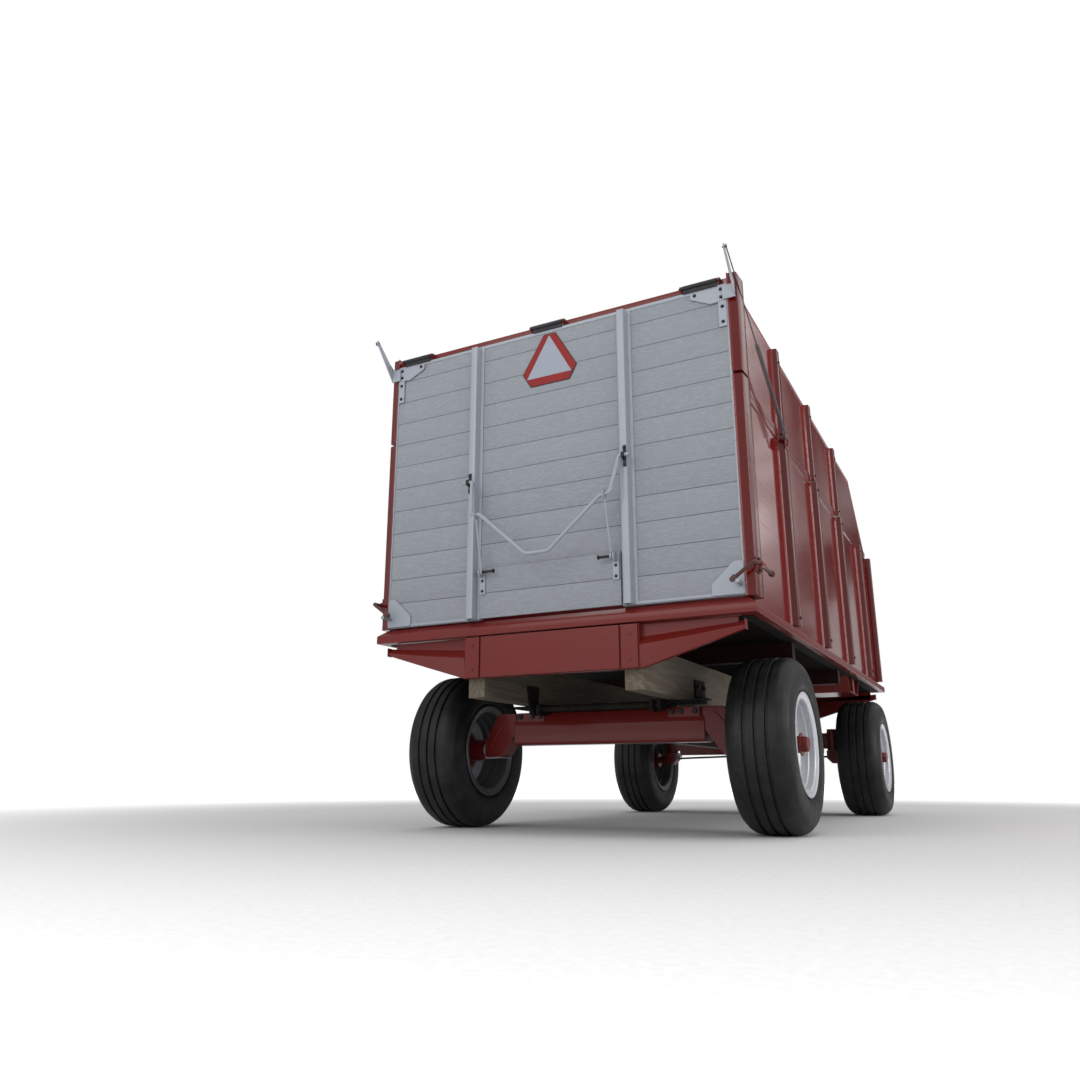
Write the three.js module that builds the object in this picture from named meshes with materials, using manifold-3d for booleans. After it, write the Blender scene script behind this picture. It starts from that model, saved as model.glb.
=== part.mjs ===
// Four-wheel farm grain cart: steered running gear, tipping box and a top-hung tailgate with a grain door.
// Millimetres, +Z up, +Y towards the drawbar, +X to the right-hand side seen from behind.
import * as THREE from "three";
import { mergeVertices } from "three/addons/utils/BufferGeometryUtils.js";
import Module from "manifold-3d";

const wasm = await Module();
wasm.setup();

// ---------------------------------------------------------------- driving dimensions
const GAP = 0.4; // clearance between touching pieces
const OVERHANG = 400; // how far a cutting solid runs past what it cuts

const WHEELBASE = 2616;
const WHEEL_X = 817; // wheel centre from the middle of the cart
const TYRE_R = 387;
const TYRE_SIDES = 32;
const RIM_R = 226;
const SEAT_R = 203; // bead seat of a 16 inch rim
const RIM_HALF = 131;
const HUB_SIDES = 12;
const NUT_COUNT = 5;
const NUT_CIRCLE_R = 70;
const SPINDLE_R = 25;
const SPINDLE_END_X = 905;

const AXLE_TOP = 566;
const AXLE_HALF_Y = 62;
const AXLE_HALF_X = 505;
const KINGPIN_X = 600;
const KINGPIN_R = 19;
const SLEEVE_R = 38;
const SLEEVE_Z = [440, 566];
const STEER_PIVOT_Y = WHEELBASE + 110;
const STEER_ARM = 130; // the same arm at the yoke and at both kingpins keeps the linkage a parallelogram
const ROD_Z = 400; // height of the tie rods
const DRAWBAR_PIVOT = [WHEELBASE + 350, 425];
const DRAWBAR_LENGTH = 1836;
const JAW_HALF = 34; // half the height of the hitch jaw
const HITCH_CLEAR = 0.5; // stored with the hitch end lying this far above the ground
const JAW_REACH = Math.hypot(DRAWBAR_LENGTH, JAW_HALF);
const DRAWBAR_SLOPE =
  Math.atan2(JAW_HALF, DRAWBAR_LENGTH) - Math.asin((DRAWBAR_PIVOT[1] - HITCH_CLEAR) / JAW_REACH);

const SILL_X = [345, 430];
const SILL_Z = [597, 787];
const SILL_Y = [-619, 2958];
const FLOOR_Z = [872.4, 898];
const RAIL_X = 934;
const RAIL_Y = [-672, 3083];
const RAIL_Z = [874, 911, 944];
const RAIL_SLOPE = 42; // how far the upper face of the rail leans in
const RAIL_WIDTH = 84;

const WALL_X = 890;
const WALL_THICK = 25;
const WALL_Y = [-620, 3041];
const SEAM_Z = 1920;
const TOP_Z = 2395;
const TOP_FRONT_Y = 2500;
const POST_X = 936;
const POST_Y = [-605, 190, 990, 1790, 2590];
const POST_BASE = 100;
const POST_FACE = 72;

const GATE_Y = [-648, -624];
const GATE_Z = [952, 2334];
const GATE_X = 888;
const BOARD_PITCH = 119;
const DOOR_X = 354;
const DOOR_Z = [953, 1188];
const DOOR_Y = [-662, -649];
const CHANNEL_X = [358, 430];
const CHANNEL_Y = [-690, -648.5];
const GATE_AXIS = [-655, 2373];
const KNUCKLE_X = [0, 768];
const ARM_TIP = [-805, 2445];
const SPRING_X = 955;
const SPRING_ANCHOR = [140, 1880];
const SPRING_SPLIT = 0.478; // share of the line that is rod, from the arm tip

const HANDLE_PIVOT = [-708, 1610];
const HANDLE_R = 8.5;
const ELBOW = [-755, 1430];
const DOOR_PIN = [-690, 1165];
const LATCH_AXIS = [945, 1072];
const LATCH_R = 8;

const TIP_AXIS = [-160, 575];
const HOIST_BASE = [520, 580];
const HOIST_TOP = [1420, 805];
const HOIST_R = 44;
const HOIST_ROD_R = 21;

// ---------------------------------------------------------------- shape helpers

// Turns a closed three.js geometry into a solid whose faces point out.
function solid(geometry) {
  const bare = geometry.clone();
  bare.deleteAttribute("normal");
  bare.deleteAttribute("uv");
  const merged = mergeVertices(bare, 1e-3);
  const vertProperties = new Float32Array(merged.attributes.position.array);
  const triVerts = new Uint32Array(merged.index.array);
  const make = () => new wasm.Manifold(new wasm.Mesh({ numProp: 3, vertProperties, triVerts }));
  const made = make();
  if (made.volume() > 0) return made;
  for (let i = 0; i < triVerts.length; i += 3) {
    [triVerts[i + 1], triVerts[i + 2]] = [triVerts[i + 2], triVerts[i + 1]];
  }
  return make();
}

const join = (...solids) => solids.flat().reduce((a, b) => a.add(b));
const cut = (body, ...tools) => tools.flat().reduce((a, b) => a.subtract(b), body);

function box(x, y, z) {
  const shape = new THREE.BoxGeometry(x[1] - x[0], y[1] - y[0], z[1] - z[0]);
  return solid(shape.translate((x[0] + x[1]) / 2, (y[0] + y[1]) / 2, (z[0] + z[1]) / 2));
}

// Straight round bar from one point to another.
function bar(from, to, radius, sides = 10) {
  const a = new THREE.Vector3(...from);
  const b = new THREE.Vector3(...to);
  const shape = new THREE.CylinderGeometry(radius, radius, a.distanceTo(b), sides);
  const turn = new THREE.Quaternion().setFromUnitVectors(
    new THREE.Vector3(0, 1, 0),
    b.clone().sub(a).normalize(),
  );
  const middle = a.add(b).multiplyScalar(0.5);
  return solid(shape.applyQuaternion(turn).translate(middle.x, middle.y, middle.z));
}

// Round bar bent through a list of points, with a short radius at each corner. It starts off level.
function bentBar(points, radius, bend = 22, sides = 8) {
  const corners = points.map((p) => new THREE.Vector3(...p));
  const path = new THREE.CurvePath();
  let start = corners[0];
  for (let i = 1; i < corners.length - 1; i += 1) {
    const corner = corners[i];
    const before = corner.clone().lerp(corners[i - 1], bend / corner.distanceTo(corners[i - 1]));
    const after = corner.clone().lerp(corners[i + 1], bend / corner.distanceTo(corners[i + 1]));
    path.add(new THREE.LineCurve3(start, before));
    path.add(new THREE.QuadraticBezierCurve3(before, corner, after));
    start = after;
  }
  path.add(new THREE.LineCurve3(start, corners.at(-1)));
  const samples = path.curves.flatMap((curve) => curve.getPoints(curve.isLineCurve3 ? 1 : 2));
  const route = samples.filter((p, i) => i === 0 || p.distanceTo(samples[i - 1]) > 0.5);
  const side = new THREE.Vector3(0, 0, 1);
  const rings = route.map((p, i) => {
    const ahead = route[Math.min(i + 1, route.length - 1)];
    const behind = route[Math.max(i - 1, 0)];
    const along = ahead.clone().sub(behind).normalize();
    side.addScaledVector(along, -side.dot(along)).normalize();
    const up = along.clone().cross(side);
    return Array.from({ length: sides }, (_, k) => {
      const angle = (2 * Math.PI * k) / sides;
      const spoke = side.clone().multiplyScalar(Math.cos(angle) * radius);
      return p.clone().add(spoke).addScaledVector(up, Math.sin(angle) * radius).toArray();
    });
  });
  return loft(rings);
}

// Skins a list of convex rings, which all hold the same number of points, and closes both ends.
function loft(rings) {
  const count = rings[0].length;
  const faces = [];
  for (let r = 0; r + 1 < rings.length; r += 1) {
    for (let k = 0; k < count; k += 1) {
      const a = r * count + k;
      const b = r * count + ((k + 1) % count);
      faces.push(a, b, b + count, a, b + count, a + count);
    }
  }
  const last = (rings.length - 1) * count;
  for (let k = 1; k + 1 < count; k += 1) {
    faces.push(0, k + 1, k, last, last + k, last + k + 1);
  }
  const shape = new THREE.BufferGeometry();
  shape.setAttribute("position", new THREE.Float32BufferAttribute(rings.flat(2), 3));
  shape.setIndex(faces);
  return solid(shape);
}

// Extrudes an outline along Z, then turns it to stand along the axis asked for.
function extrude(outline, span, axis) {
  const shape = new THREE.Shape(outline.map(([u, v]) => new THREE.Vector2(u, v)));
  const made = new THREE.ExtrudeGeometry(shape, { depth: span[1] - span[0], bevelEnabled: false, steps: 1 });
  made.translate(0, 0, span[0]);
  if (axis === "x") {
    made.applyMatrix4(new THREE.Matrix4().set(0, 0, 1, 0, 1, 0, 0, 0, 0, 1, 0, 0, 0, 0, 0, 1));
  }
  if (axis === "y") {
    made.applyMatrix4(new THREE.Matrix4().set(1, 0, 0, 0, 0, 0, 1, 0, 0, 1, 0, 0, 0, 0, 0, 1));
  }
  return solid(made);
}

// Outlines are [y, z] for alongX, [x, z] for alongY and [x, y] for alongZ.
const alongX = (outline, span) => extrude(outline, span, "x");
const alongY = (outline, span) => extrude(outline, span, "y");
const alongZ = (outline, span) => extrude(outline, span, "z");

// Turns a profile of [radius, distance along X] about the X axis.
function turned(profile, sides) {
  const points = profile.map(([radius, along]) => new THREE.Vector2(radius, along));
  return solid(new THREE.LatheGeometry(points, sides).rotateZ(-Math.PI / 2).rotateX(Math.PI / sides));
}

function bareMesh(name, body, material) {
  const data = body.getMesh();
  const shape = new THREE.BufferGeometry();
  shape.setAttribute("position", new THREE.BufferAttribute(data.vertProperties, 3));
  shape.setIndex(new THREE.BufferAttribute(data.triVerts, 1));
  shape.computeVertexNormals();
  const mesh = new THREE.Mesh(shape, material);
  mesh.name = name;
  return mesh;
}

// ---------------------------------------------------------------- materials

const paint = (color, roughness, metalness = 0) =>
  new THREE.MeshStandardMaterial({ color, roughness, metalness });
const RED = paint(0x7a2c2a, 0.28);
const BOARD = paint(0x8c939b, 0.65);
const STEEL = paint(0x969ba5, 0.45, 0.7);
const WOOD = paint(0x6e6255, 0.8);
const TYRE = paint(0x232526, 0.8);
const SILVER = paint(0xc8ccd2, 0.35, 0.4);
const DARK = paint(0x2b2b2d, 0.5, 0.6);
const SIGN = paint(0xb03a34, 0.3);

// ---------------------------------------------------------------- scene graph

const part = new THREE.Group();
const cart = new THREE.Group();
const leftSide = new THREE.Group();
leftSide.scale.x = -1;
const hitchTip =
  DRAWBAR_PIVOT[0] + DRAWBAR_LENGTH * Math.cos(DRAWBAR_SLOPE) - JAW_HALF * Math.sin(DRAWBAR_SLOPE);
cart.position.y = -(ARM_TIP[0] + hitchTip) / 2;
part.add(cart);
cart.add(leftSide);

const place = (name, body, material) => cart.add(bareMesh(name, body, material));

// Adds a right-hand piece and its mirror image.
function pair(name, body, material) {
  cart.add(bareMesh(name + "_right", body, material));
  leftSide.add(bareMesh(name + "_left", body, material));
}

// ---------------------------------------------------------------- wheels

// Rounded implement tyre: a ring about X, flat at the bottom so that it stands still.
function tyreSolid() {
  const scale = 1 / Math.cos(Math.PI / TYRE_SIDES);
  const half = [
    [204, 120],
    [229, 121],
    [240, 136],
    [305, 143],
    [360, 124],
    [TYRE_R, 86],
  ];
  const right = half.map(([r, x]) => [r * scale, x]);
  const left = half.map(([r, x]) => [r * scale, -x]).reverse();
  return turned([...right, ...left, right[0]], TYRE_SIDES);
}

function rimSolid() {
  const barrel = [
    [RIM_R, RIM_HALF],
    [SEAT_R - 6, RIM_HALF],
    [SEAT_R - 6, 62],
    [110, 18],
    [46, 18],
    [46, 11],
    [112, 11],
    [SEAT_R - 6, 54],
    [SEAT_R - 6, -RIM_HALF],
    [RIM_R, -RIM_HALF],
    [SEAT_R, 8 - RIM_HALF],
    [SEAT_R, RIM_HALF - 8],
    [RIM_R, RIM_HALF],
  ];
  const nuts = Array.from({ length: NUT_COUNT }, (_, i) => {
    const angle = (2 * Math.PI * i) / NUT_COUNT + 0.3;
    const at = [Math.cos(angle) * NUT_CIRCLE_R, Math.sin(angle) * NUT_CIRCLE_R];
    return bar([14, ...at], [36, ...at], 13, 6);
  });
  return join(turned(barrel, 20), nuts);
}

// Hub shell: bored from the inboard side for the spindle, with a tapered nose and a bolting flange.
function hubSolid() {
  return turned(
    [
      [SPINDLE_R + 1, -104],
      [52, -104],
      [56, -30],
      [92, -4],
      [92, 10],
      [45, 10.5],
      [45, 30],
      [36, 112],
      [40, 113],
      [40, 134],
      [34, 141],
      [0, 141],
      [0, 96],
      [SPINDLE_R + 1, 96],
      [SPINDLE_R + 1, -104],
    ],
    HUB_SIDES,
  );
}

function addWheels() {
  const tyre = tyreSolid();
  const rim = rimSolid();
  const hub = hubSolid();
  const stations = [
    ["rear", 0],
    ["front", WHEELBASE],
  ];
  for (const [end, y] of stations) {
    for (const [side, parent] of [["right", cart], ["left", leftSide]]) {
      const wheel = new THREE.Group();
      wheel.position.set(WHEEL_X, y, TYRE_R);
      wheel.add(bareMesh(`tyre_${end}_${side}`, tyre, TYRE));
      wheel.add(bareMesh(`rim_${end}_${side}`, rim, SILVER));
      wheel.add(bareMesh(`hub_${end}_${side}`, hub, RED));
      parent.add(wheel);
    }
  }
}

// ---------------------------------------------------------------- running gear

// Folded beam with a drop arm and a spindle at each end.
function rearAxle() {
  const beam = alongX(
    [
      [-AXLE_HALF_Y, 412],
      [-46, 405],
      [46, 405],
      [AXLE_HALF_Y, 412],
      [AXLE_HALF_Y, 500],
      [44, AXLE_TOP],
      [-44, AXLE_TOP],
      [-AXLE_HALF_Y, 500],
    ],
    [-AXLE_HALF_X, AXLE_HALF_X],
  );
  const arm = alongY(
    [
      [495, 566],
      [600, 566],
      [680, 430],
      [680, 350],
      [585, 350],
      [495, 470],
    ],
    [-55, 55],
  );
  const spindle = bar([640, 0, TYRE_R], [SPINDLE_END_X, 0, TYRE_R], SPINDLE_R, HUB_SIDES);
  const end = join(arm, spindle);
  return join(beam, end, end.mirror([1, 0, 0]));
}

// Front beam with a kingpin sleeve at each end and a lug for the steering yoke in front.
function frontAxle() {
  const y = WHEELBASE;
  const beam = alongX(
    [
      [y - 55, 428],
      [y - 40, 420],
      [y + 40, 420],
      [y + 55, 428],
      [y + 55, 510],
      [y + 40, AXLE_TOP],
      [y - 40, AXLE_TOP],
      [y - 55, 510],
    ],
    [-528, 528],
  );
  // The beam stops short of the knuckle's swing, and a neck above the swing carries the sleeve.
  const neck = box([515, 575], [y - 36, y + 36], [452, 560]);
  const bore = (x, py, r) => bar([x, py, 380], [x, py, 620], r, 16);
  const sleeve = bar([KINGPIN_X, y, SLEEVE_Z[0]], [KINGPIN_X, y, SLEEVE_Z[1]], SLEEVE_R, 16);
  const lug = (z) => box([-48, 48], [y + 30, STEER_PIVOT_Y + 46], z);
  const end = join(sleeve, neck);
  const body = join(beam, end, end.mirror([1, 0, 0]), lug([420, 440]), lug([500, 520]));
  return cut(
    body,
    bore(KINGPIN_X, y, KINGPIN_R + 1),
    bore(-KINGPIN_X, y, KINGPIN_R + 1),
    bore(0, STEER_PIVOT_Y, 19),
  );
}

// Kingpin, drop block, spindle and steering arm in one forging.
function knuckle() {
  const y = WHEELBASE;
  const block = alongY(
    [
      [562, 438.5],
      [640, 438.5],
      [664, 424],
      [664, 350],
      [596, 350],
      [562, 384],
    ],
    [y - 42, y + 42],
  );
  const pin = bar([KINGPIN_X, y, 430], [KINGPIN_X, y, 575], KINGPIN_R, 16);
  const cap = bar([KINGPIN_X, y, SLEEVE_Z[1] + 1], [KINGPIN_X, y, 588], 33, 12);
  const spindle = bar([650, y, TYRE_R], [SPINDLE_END_X, y, TYRE_R], SPINDLE_R, HUB_SIDES);
  const arm = alongZ(
    [
      [KINGPIN_X - 30, y + 30],
      [KINGPIN_X + 30, y + 30],
      [KINGPIN_X + 20, y + STEER_ARM + 14],
      [KINGPIN_X - 20, y + STEER_ARM + 14],
    ],
    [ROD_Z + 12, ROD_Z + 26],
  );
  const stud = bar([KINGPIN_X, y + STEER_ARM, ROD_Z - 14], [KINGPIN_X, y + STEER_ARM, ROD_Z + 20], 8, 12);
  return join(block, pin, cap, spindle, arm, stud);
}

// Yoke that turns on the steering pin and carries the drawbar's cross pin.
function steeringYoke() {
  const [pinY, pinZ] = DRAWBAR_PIVOT;
  const post = bar([0, STEER_PIVOT_Y, 372], [0, STEER_PIVOT_Y, 530], 18, 16);
  const boss = box([-46, 46], [STEER_PIVOT_Y - 28, pinY - 38], [441, 499]);
  const plate = box([-120, 120], [pinY - 66, pinY - 38], [441, 499]);
  const ear = box([96, 120], [pinY - 50, pinY + 36], [392, 462]);
  const pin = bar([-112, pinY, pinZ], [112, pinY, pinZ], 14, 16);
  const arm = alongZ(
    [
      [-30, STEER_PIVOT_Y - 26],
      [30, STEER_PIVOT_Y - 26],
      [24, STEER_PIVOT_Y + STEER_ARM + 6],
      [-24, STEER_PIVOT_Y + STEER_ARM + 6],
    ],
    [ROD_Z - 30, ROD_Z - 16],
  );
  const stud = bar(
    [0, STEER_PIVOT_Y + STEER_ARM, ROD_Z - 22],
    [0, STEER_PIVOT_Y + STEER_ARM, ROD_Z + 34],
    9,
    12,
  );
  return join(post, boss, plate, ear, ear.mirror([1, 0, 0]), pin, arm, stud);
}

// Tie rod from the yoke's stud to the stud on a steering arm. The two inner eyes sit one above the other.
function tieRod(innerZ) {
  const inner = [0, STEER_PIVOT_Y + STEER_ARM];
  const outer = [KINGPIN_X, WHEELBASE + STEER_ARM];
  const eye = ([x, y], z, hole) =>
    cut(bar([x, y, z - 8], [x, y, z + 8], 24, 16), bar([x, y, z - 12], [x, y, z + 12], hole, 12));
  const along = new THREE.Vector2(outer[0] - inner[0], outer[1] - inner[1]).normalize();
  const start = [inner[0] + along.x * 18, inner[1] + along.y * 18];
  const end = [outer[0] - along.x * 18, outer[1] - along.y * 18];
  const rod = bar([...start, innerZ], [...end, ROD_Z], 7, 10);
  const trim = bar([...inner, innerZ - 12], [...inner, innerZ + 12], 11, 12);
  const outerTrim = bar([...outer, ROD_Z - 12], [...outer, ROD_Z + 12], 10, 12);
  return cut(join(eye(inner, innerZ, 11), eye(outer, ROD_Z, 10), rod), trim, outerTrim);
}

// A-shaped drawbar, built level with its cross pin at the origin and the tube along +Y.
function drawbar() {
  const end = DRAWBAR_LENGTH;
  const leg = loft([
    [[62, -26, -24], [90, -26, -24], [90, -26, 24], [62, -26, 24]],
    [[62, 40, -24], [90, 40, -24], [90, 40, 24], [62, 40, 24]],
    [[2, 640, -28], [36, 640, -28], [36, 640, 28], [2, 640, 28]],
  ]);
  const tube = box([-38, 38], [440, end - 120], [-38, 38]);
  const brace = box([-70, 70], [150, 200], [-16, 16]);
  const jaw = (z) => box([-40, 40], [end - 160, end], z);
  const root = box([-36, 36], [end - 160, end - 110], [-30, 30]);
  const clevis = join(jaw([16, JAW_HALF]), jaw([-JAW_HALF, -16]), root);
  const pinHole = bar([0, end - 42, -OVERHANG], [0, end - 42, OVERHANG], 13, 16);
  const bore = bar([-OVERHANG, 0, 0], [OVERHANG, 0, 0], 14.6, 16);
  return cut(join(leg, leg.mirror([1, 0, 0]), tube, brace, clevis), pinHole, bore);
}

// Square reach pole with a rear brace on each side.
function reachPole() {
  const pole = box([-38, 38], [AXLE_HALF_Y + 1, WHEELBASE - 56], [440, 516]);
  const brace = loft([
    [[250, 64, 450], [290, 64, 450], [290, 64, 500], [250, 64, 500]],
    [[14, 400, 455], [44, 400, 455], [44, 400, 495], [14, 400, 495]],
  ]);
  return join(pole, brace, brace.mirror([1, 0, 0]));
}

// Cross timber on an axle that the sills rest on, with a pad under each sill.
function bolster(y, ears) {
  const beam = box([-338, 338], [y - 46, y + 46], [AXLE_TOP + GAP, SILL_Z[0] - GAP]);
  const pad = box([330, 486], [y - 92, y + 60], [584, SILL_Z[0] - GAP]);
  const pieces = [beam, pad, pad.mirror([1, 0, 0])];
  if (ears) {
    const [ay, az] = TIP_AXIS;
    const ear = alongX(
      [
        [ay - 36, az - 32],
        [ay + 36, az - 32],
        [y - AXLE_HALF_Y - 6, AXLE_TOP - 10],
        [y - AXLE_HALF_Y - 6, AXLE_TOP + 2],
        [y - 30, AXLE_TOP + 2],
        [y - 30, SILL_Z[0] - 2],
        [ay - 36, SILL_Z[0] - 2],
      ],
      [286, 304],
    );
    const hole = bar([-OVERHANG, ay, az], [OVERHANG, ay, az], 16, 16);
    return cut(join(pieces, ear, ear.mirror([1, 0, 0])), hole);
  }
  return join(pieces);
}

function hoistSaddle() {
  const [y, z] = HOIST_BASE;
  const cheek = alongX(
    [
      [y - 90, 430],
      [y + 90, 430],
      [y + 90, 530],
      [y + 26, z + 28],
      [y - 26, z + 28],
      [y - 90, 530],
    ],
    [50, 62],
  );
  const foot = box([-62, 62], [y - 80, y + 80], [424, 439]);
  const pin = bar([-58, y, z], [58, y, z], 15, 16);
  return join(cheek, cheek.mirror([1, 0, 0]), foot, pin);
}

function addRunningGear() {
  place("rear_axle", rearAxle(), RED);
  place("front_axle", frontAxle(), RED);
  place("reach_pole", reachPole(), RED);
  place("rear_bolster", bolster(0, true), RED);
  place("front_bolster", bolster(WHEELBASE, false), RED);
  place("hoist_saddle", hoistSaddle(), RED);
  place("tip_shaft", bar([-328, ...TIP_AXIS], [328, ...TIP_AXIS], 15.5, 16), DARK);
  pair("knuckle", knuckle(), RED);
  place("steering_yoke", steeringYoke(), RED);
  cart.add(bareMesh("tie_rod_right", tieRod(ROD_Z), DARK));
  leftSide.add(bareMesh("tie_rod_left", tieRod(ROD_Z + 18), DARK));
  const hitch = new THREE.Group();
  hitch.position.set(0, ...DRAWBAR_PIVOT);
  hitch.rotation.x = DRAWBAR_SLOPE;
  hitch.add(bareMesh("drawbar", drawbar(), RED));
  cart.add(hitch);
}

// ---------------------------------------------------------------- hoist

// Bodies of the hoist are built along +Y from the base pin and turned to point at the top pin.
function addHoist() {
  const base = new THREE.Vector2(...HOIST_BASE);
  const reach = base.distanceTo(new THREE.Vector2(...HOIST_TOP));
  const slope = Math.atan2(HOIST_TOP[1] - HOIST_BASE[1], HOIST_TOP[0] - HOIST_BASE[0]);
  const hoist = new THREE.Group();
  hoist.position.set(0, ...HOIST_BASE);
  hoist.rotation.x = slope;
  const lathe = (profile) =>
    solid(new THREE.LatheGeometry(profile.map(([r, y]) => new THREE.Vector2(r, y)), 14));
  const shell = lathe([
    [0, 36],
    [HOIST_R, 36],
    [HOIST_R, 640],
    [HOIST_ROD_R + 1, 640],
    [HOIST_ROD_R + 1, 612],
    [36, 612],
    [36, 60],
    [0, 60],
  ]);
  const eye = bar([-26, 0, 0], [26, 0, 0], 34, 16);
  const neck = box([-26, 26], [10, 44], [-26, 26]);
  const barrel = cut(join(shell, eye, neck), bar([-90, 0, 0], [90, 0, 0], 15.6, 16));
  const piston = lathe([
    [0, 90],
    [35, 90],
    [35, 130],
    [HOIST_ROD_R, 130],
    [HOIST_ROD_R, reach - 20],
    [0, reach - 20],
  ]);
  const topEye = bar([-24, reach, 0], [24, reach, 0], 30, 16);
  const topPin = bar([-34, reach, 0], [34, reach, 0], 14, 12);
  hoist.add(bareMesh("hoist_barrel", barrel, RED));
  hoist.add(bareMesh("hoist_rod", join(piston, topEye, topPin), STEEL));
  cart.add(hoist);
}

// ---------------------------------------------------------------- box underframe

function sill() {
  const [ay, az] = TIP_AXIS;
  const timber = box(SILL_X, SILL_Y, SILL_Z);
  const hanger = alongX(
    [
      [ay - 34, az - 30],
      [ay + 34, az - 30],
      [ay + 60, SILL_Z[0] + 90],
      [ay - 60, SILL_Z[0] + 90],
    ],
    [312, SILL_X[0] + 2],
  );
  const bracket = box([SILL_X[1] - 2, SILL_X[1] + 8], [40, 190], [612, 702]);
  const hole = bar([200, ay, az], [500, ay, az], 16.2, 16);
  return cut(join(timber, hanger, bracket), hole);
}

// Pressed end frame: a deep middle panel and two end plates between tapered outriggers.
function endFrame(y, outward) {
  const depth = [y, y + 40];
  const panel = alongY(
    [
      [-430, 680],
      [430, 680],
      [875, 815],
      [875, 850],
      [840, FLOOR_Z[0] - GAP],
      [-840, FLOOR_Z[0] - GAP],
      [-875, 850],
      [-875, 815],
    ],
    depth,
  );
  const faceY = outward < 0 ? y - 6 : y + 34;
  const raised = (x0, x1) => box([x0, x1], [faceY, faceY + 12], [684, 868]);
  return join(panel, raised(-342, 342), raised(350, 426), raised(-426, -350));
}

// Open-topped pan that stands out past a sill and carries the rail.
function outriggerPan() {
  const y = [1790, 2100];
  const outline = [
    [y[0] - 50, 871],
    [y[0], 772],
    [y[1], 772],
    [y[1] + 60, 871],
    [y[1] + 54, 871],
    [y[1] - 4, 778],
    [y[0] + 4, 778],
    [y[0] - 44, 871],
  ];
  const span = [SILL_X[1] + 6, 880];
  return join(alongX(outline, span), box(span, [1917, 1973], [776, SILL_Z[1] + 8]));
}

function crossMember(y) {
  return box([-880, 880], [y - 28, y + 28], [SILL_Z[1] + GAP, FLOOR_Z[0] - GAP]);
}

// The member over the hoist carries the two lugs beside its top eye.
function hoistCrossMember() {
  const [y, z] = HOIST_TOP;
  const lug = alongX(
    [
      [y - 30, z - 34],
      [y + 30, z - 34],
      [y + 44, FLOOR_Z[0] - GAP],
      [y - 44, FLOOR_Z[0] - GAP],
    ],
    [38, 50],
  );
  const member = cut(crossMember(y), box([-50, 50], [y - 60, y + 60], [700, 846]));
  return join(member, lug, lug.mirror([1, 0, 0]));
}

// Rail round the foot of the box: an upright face with a face above it that leans in to the wall.
function bottomRail() {
  const [z0, z1, z2] = RAIL_Z;
  const outline = (inset, z) => [
    [RAIL_X - inset, RAIL_Y[0] + inset, z],
    [RAIL_X - inset, RAIL_Y[1] - inset, z],
    [inset - RAIL_X, RAIL_Y[1] - inset, z],
    [inset - RAIL_X, RAIL_Y[0] + inset, z],
  ];
  const inner = RAIL_X - RAIL_WIDTH;
  const hollow = box(
    [-inner, inner],
    [RAIL_Y[0] + RAIL_WIDTH, RAIL_Y[1] - RAIL_WIDTH],
    [z0 - OVERHANG, z2 + OVERHANG],
  );
  return cut(loft([outline(0, z0), outline(0, z1), outline(RAIL_SLOPE, z2)]), hollow);
}

function addUnderframe() {
  const middle = join(crossMember(1945), outriggerPan(), outriggerPan().mirror([1, 0, 0]));
  pair("sill", sill(), WOOD);
  place("rear_end_frame", endFrame(-660, -1), RED);
  place("front_end_frame", endFrame(2960, 1), RED);
  place("cross_member_rear", crossMember(200), RED);
  place("cross_member_hoist", hoistCrossMember(), RED);
  place("cross_member_outrigger", middle, RED);
  place("bottom_rail", bottomRail(), RED);
  const inner = RAIL_X - RAIL_WIDTH - GAP;
  const floorY = [RAIL_Y[0] + RAIL_WIDTH + GAP, RAIL_Y[1] - RAIL_WIDTH - GAP];
  place("floor", box([-inner, inner], floorY, FLOOR_Z), WOOD);
}

// ---------------------------------------------------------------- walls

// Hat-shaped stake on the outside of a wall, from one height to another.
function stake(y, z, faceX, base) {
  const face = base * (POST_FACE / POST_BASE);
  return alongZ(
    [
      [WALL_X - 1, y - base / 2],
      [faceX, y - face / 2],
      [faceX, y + face / 2],
      [WALL_X - 1, y + base / 2],
    ],
    z,
  );
}

function lowerSide() {
  const z = [RAIL_Z[2] + GAP, SEAM_Z - GAP];
  const sheet = box([WALL_X - WALL_THICK, WALL_X], WALL_Y, z);
  const stakes = POST_Y.map((y) => stake(y, [z[0], SEAM_Z - 8], POST_X, POST_BASE));
  const frontPost = box([WALL_X - 4, POST_X - 4], [WALL_Y[1] - 60, WALL_Y[1] - 2], [z[0], SEAM_Z - 20]);
  const [lx, lz] = LATCH_AXIS;
  const bracket = box([POST_X - 4, lx + 16], [-640, -580], [lz - 18, lz + 18]);
  const bore = bar([lx, -700, lz], [lx, -500, lz], LATCH_R + 0.8, 12);
  const [sy, sz] = SPRING_ANCHOR;
  const hook = box([POST_X - 4, SPRING_X + 6], [sy + 14, sy + 34], [sz - 12, sz + 12]);
  return cut(join(sheet, stakes, frontPost, bracket, hook), bore);
}

function upperSide() {
  const sheet = alongX(
    [
      [WALL_Y[0], SEAM_Z + GAP],
      [WALL_Y[1], SEAM_Z + GAP],
      [TOP_FRONT_Y, TOP_Z],
      [WALL_Y[0], TOP_Z],
    ],
    [WALL_X - WALL_THICK, WALL_X],
  );
  const stakes = POST_Y.slice(0, 4).map((y) => stake(y, [SEAM_Z + 6, TOP_Z + 5], POST_X - 3, POST_BASE - 10));
  return join(sheet, stakes);
}

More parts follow.
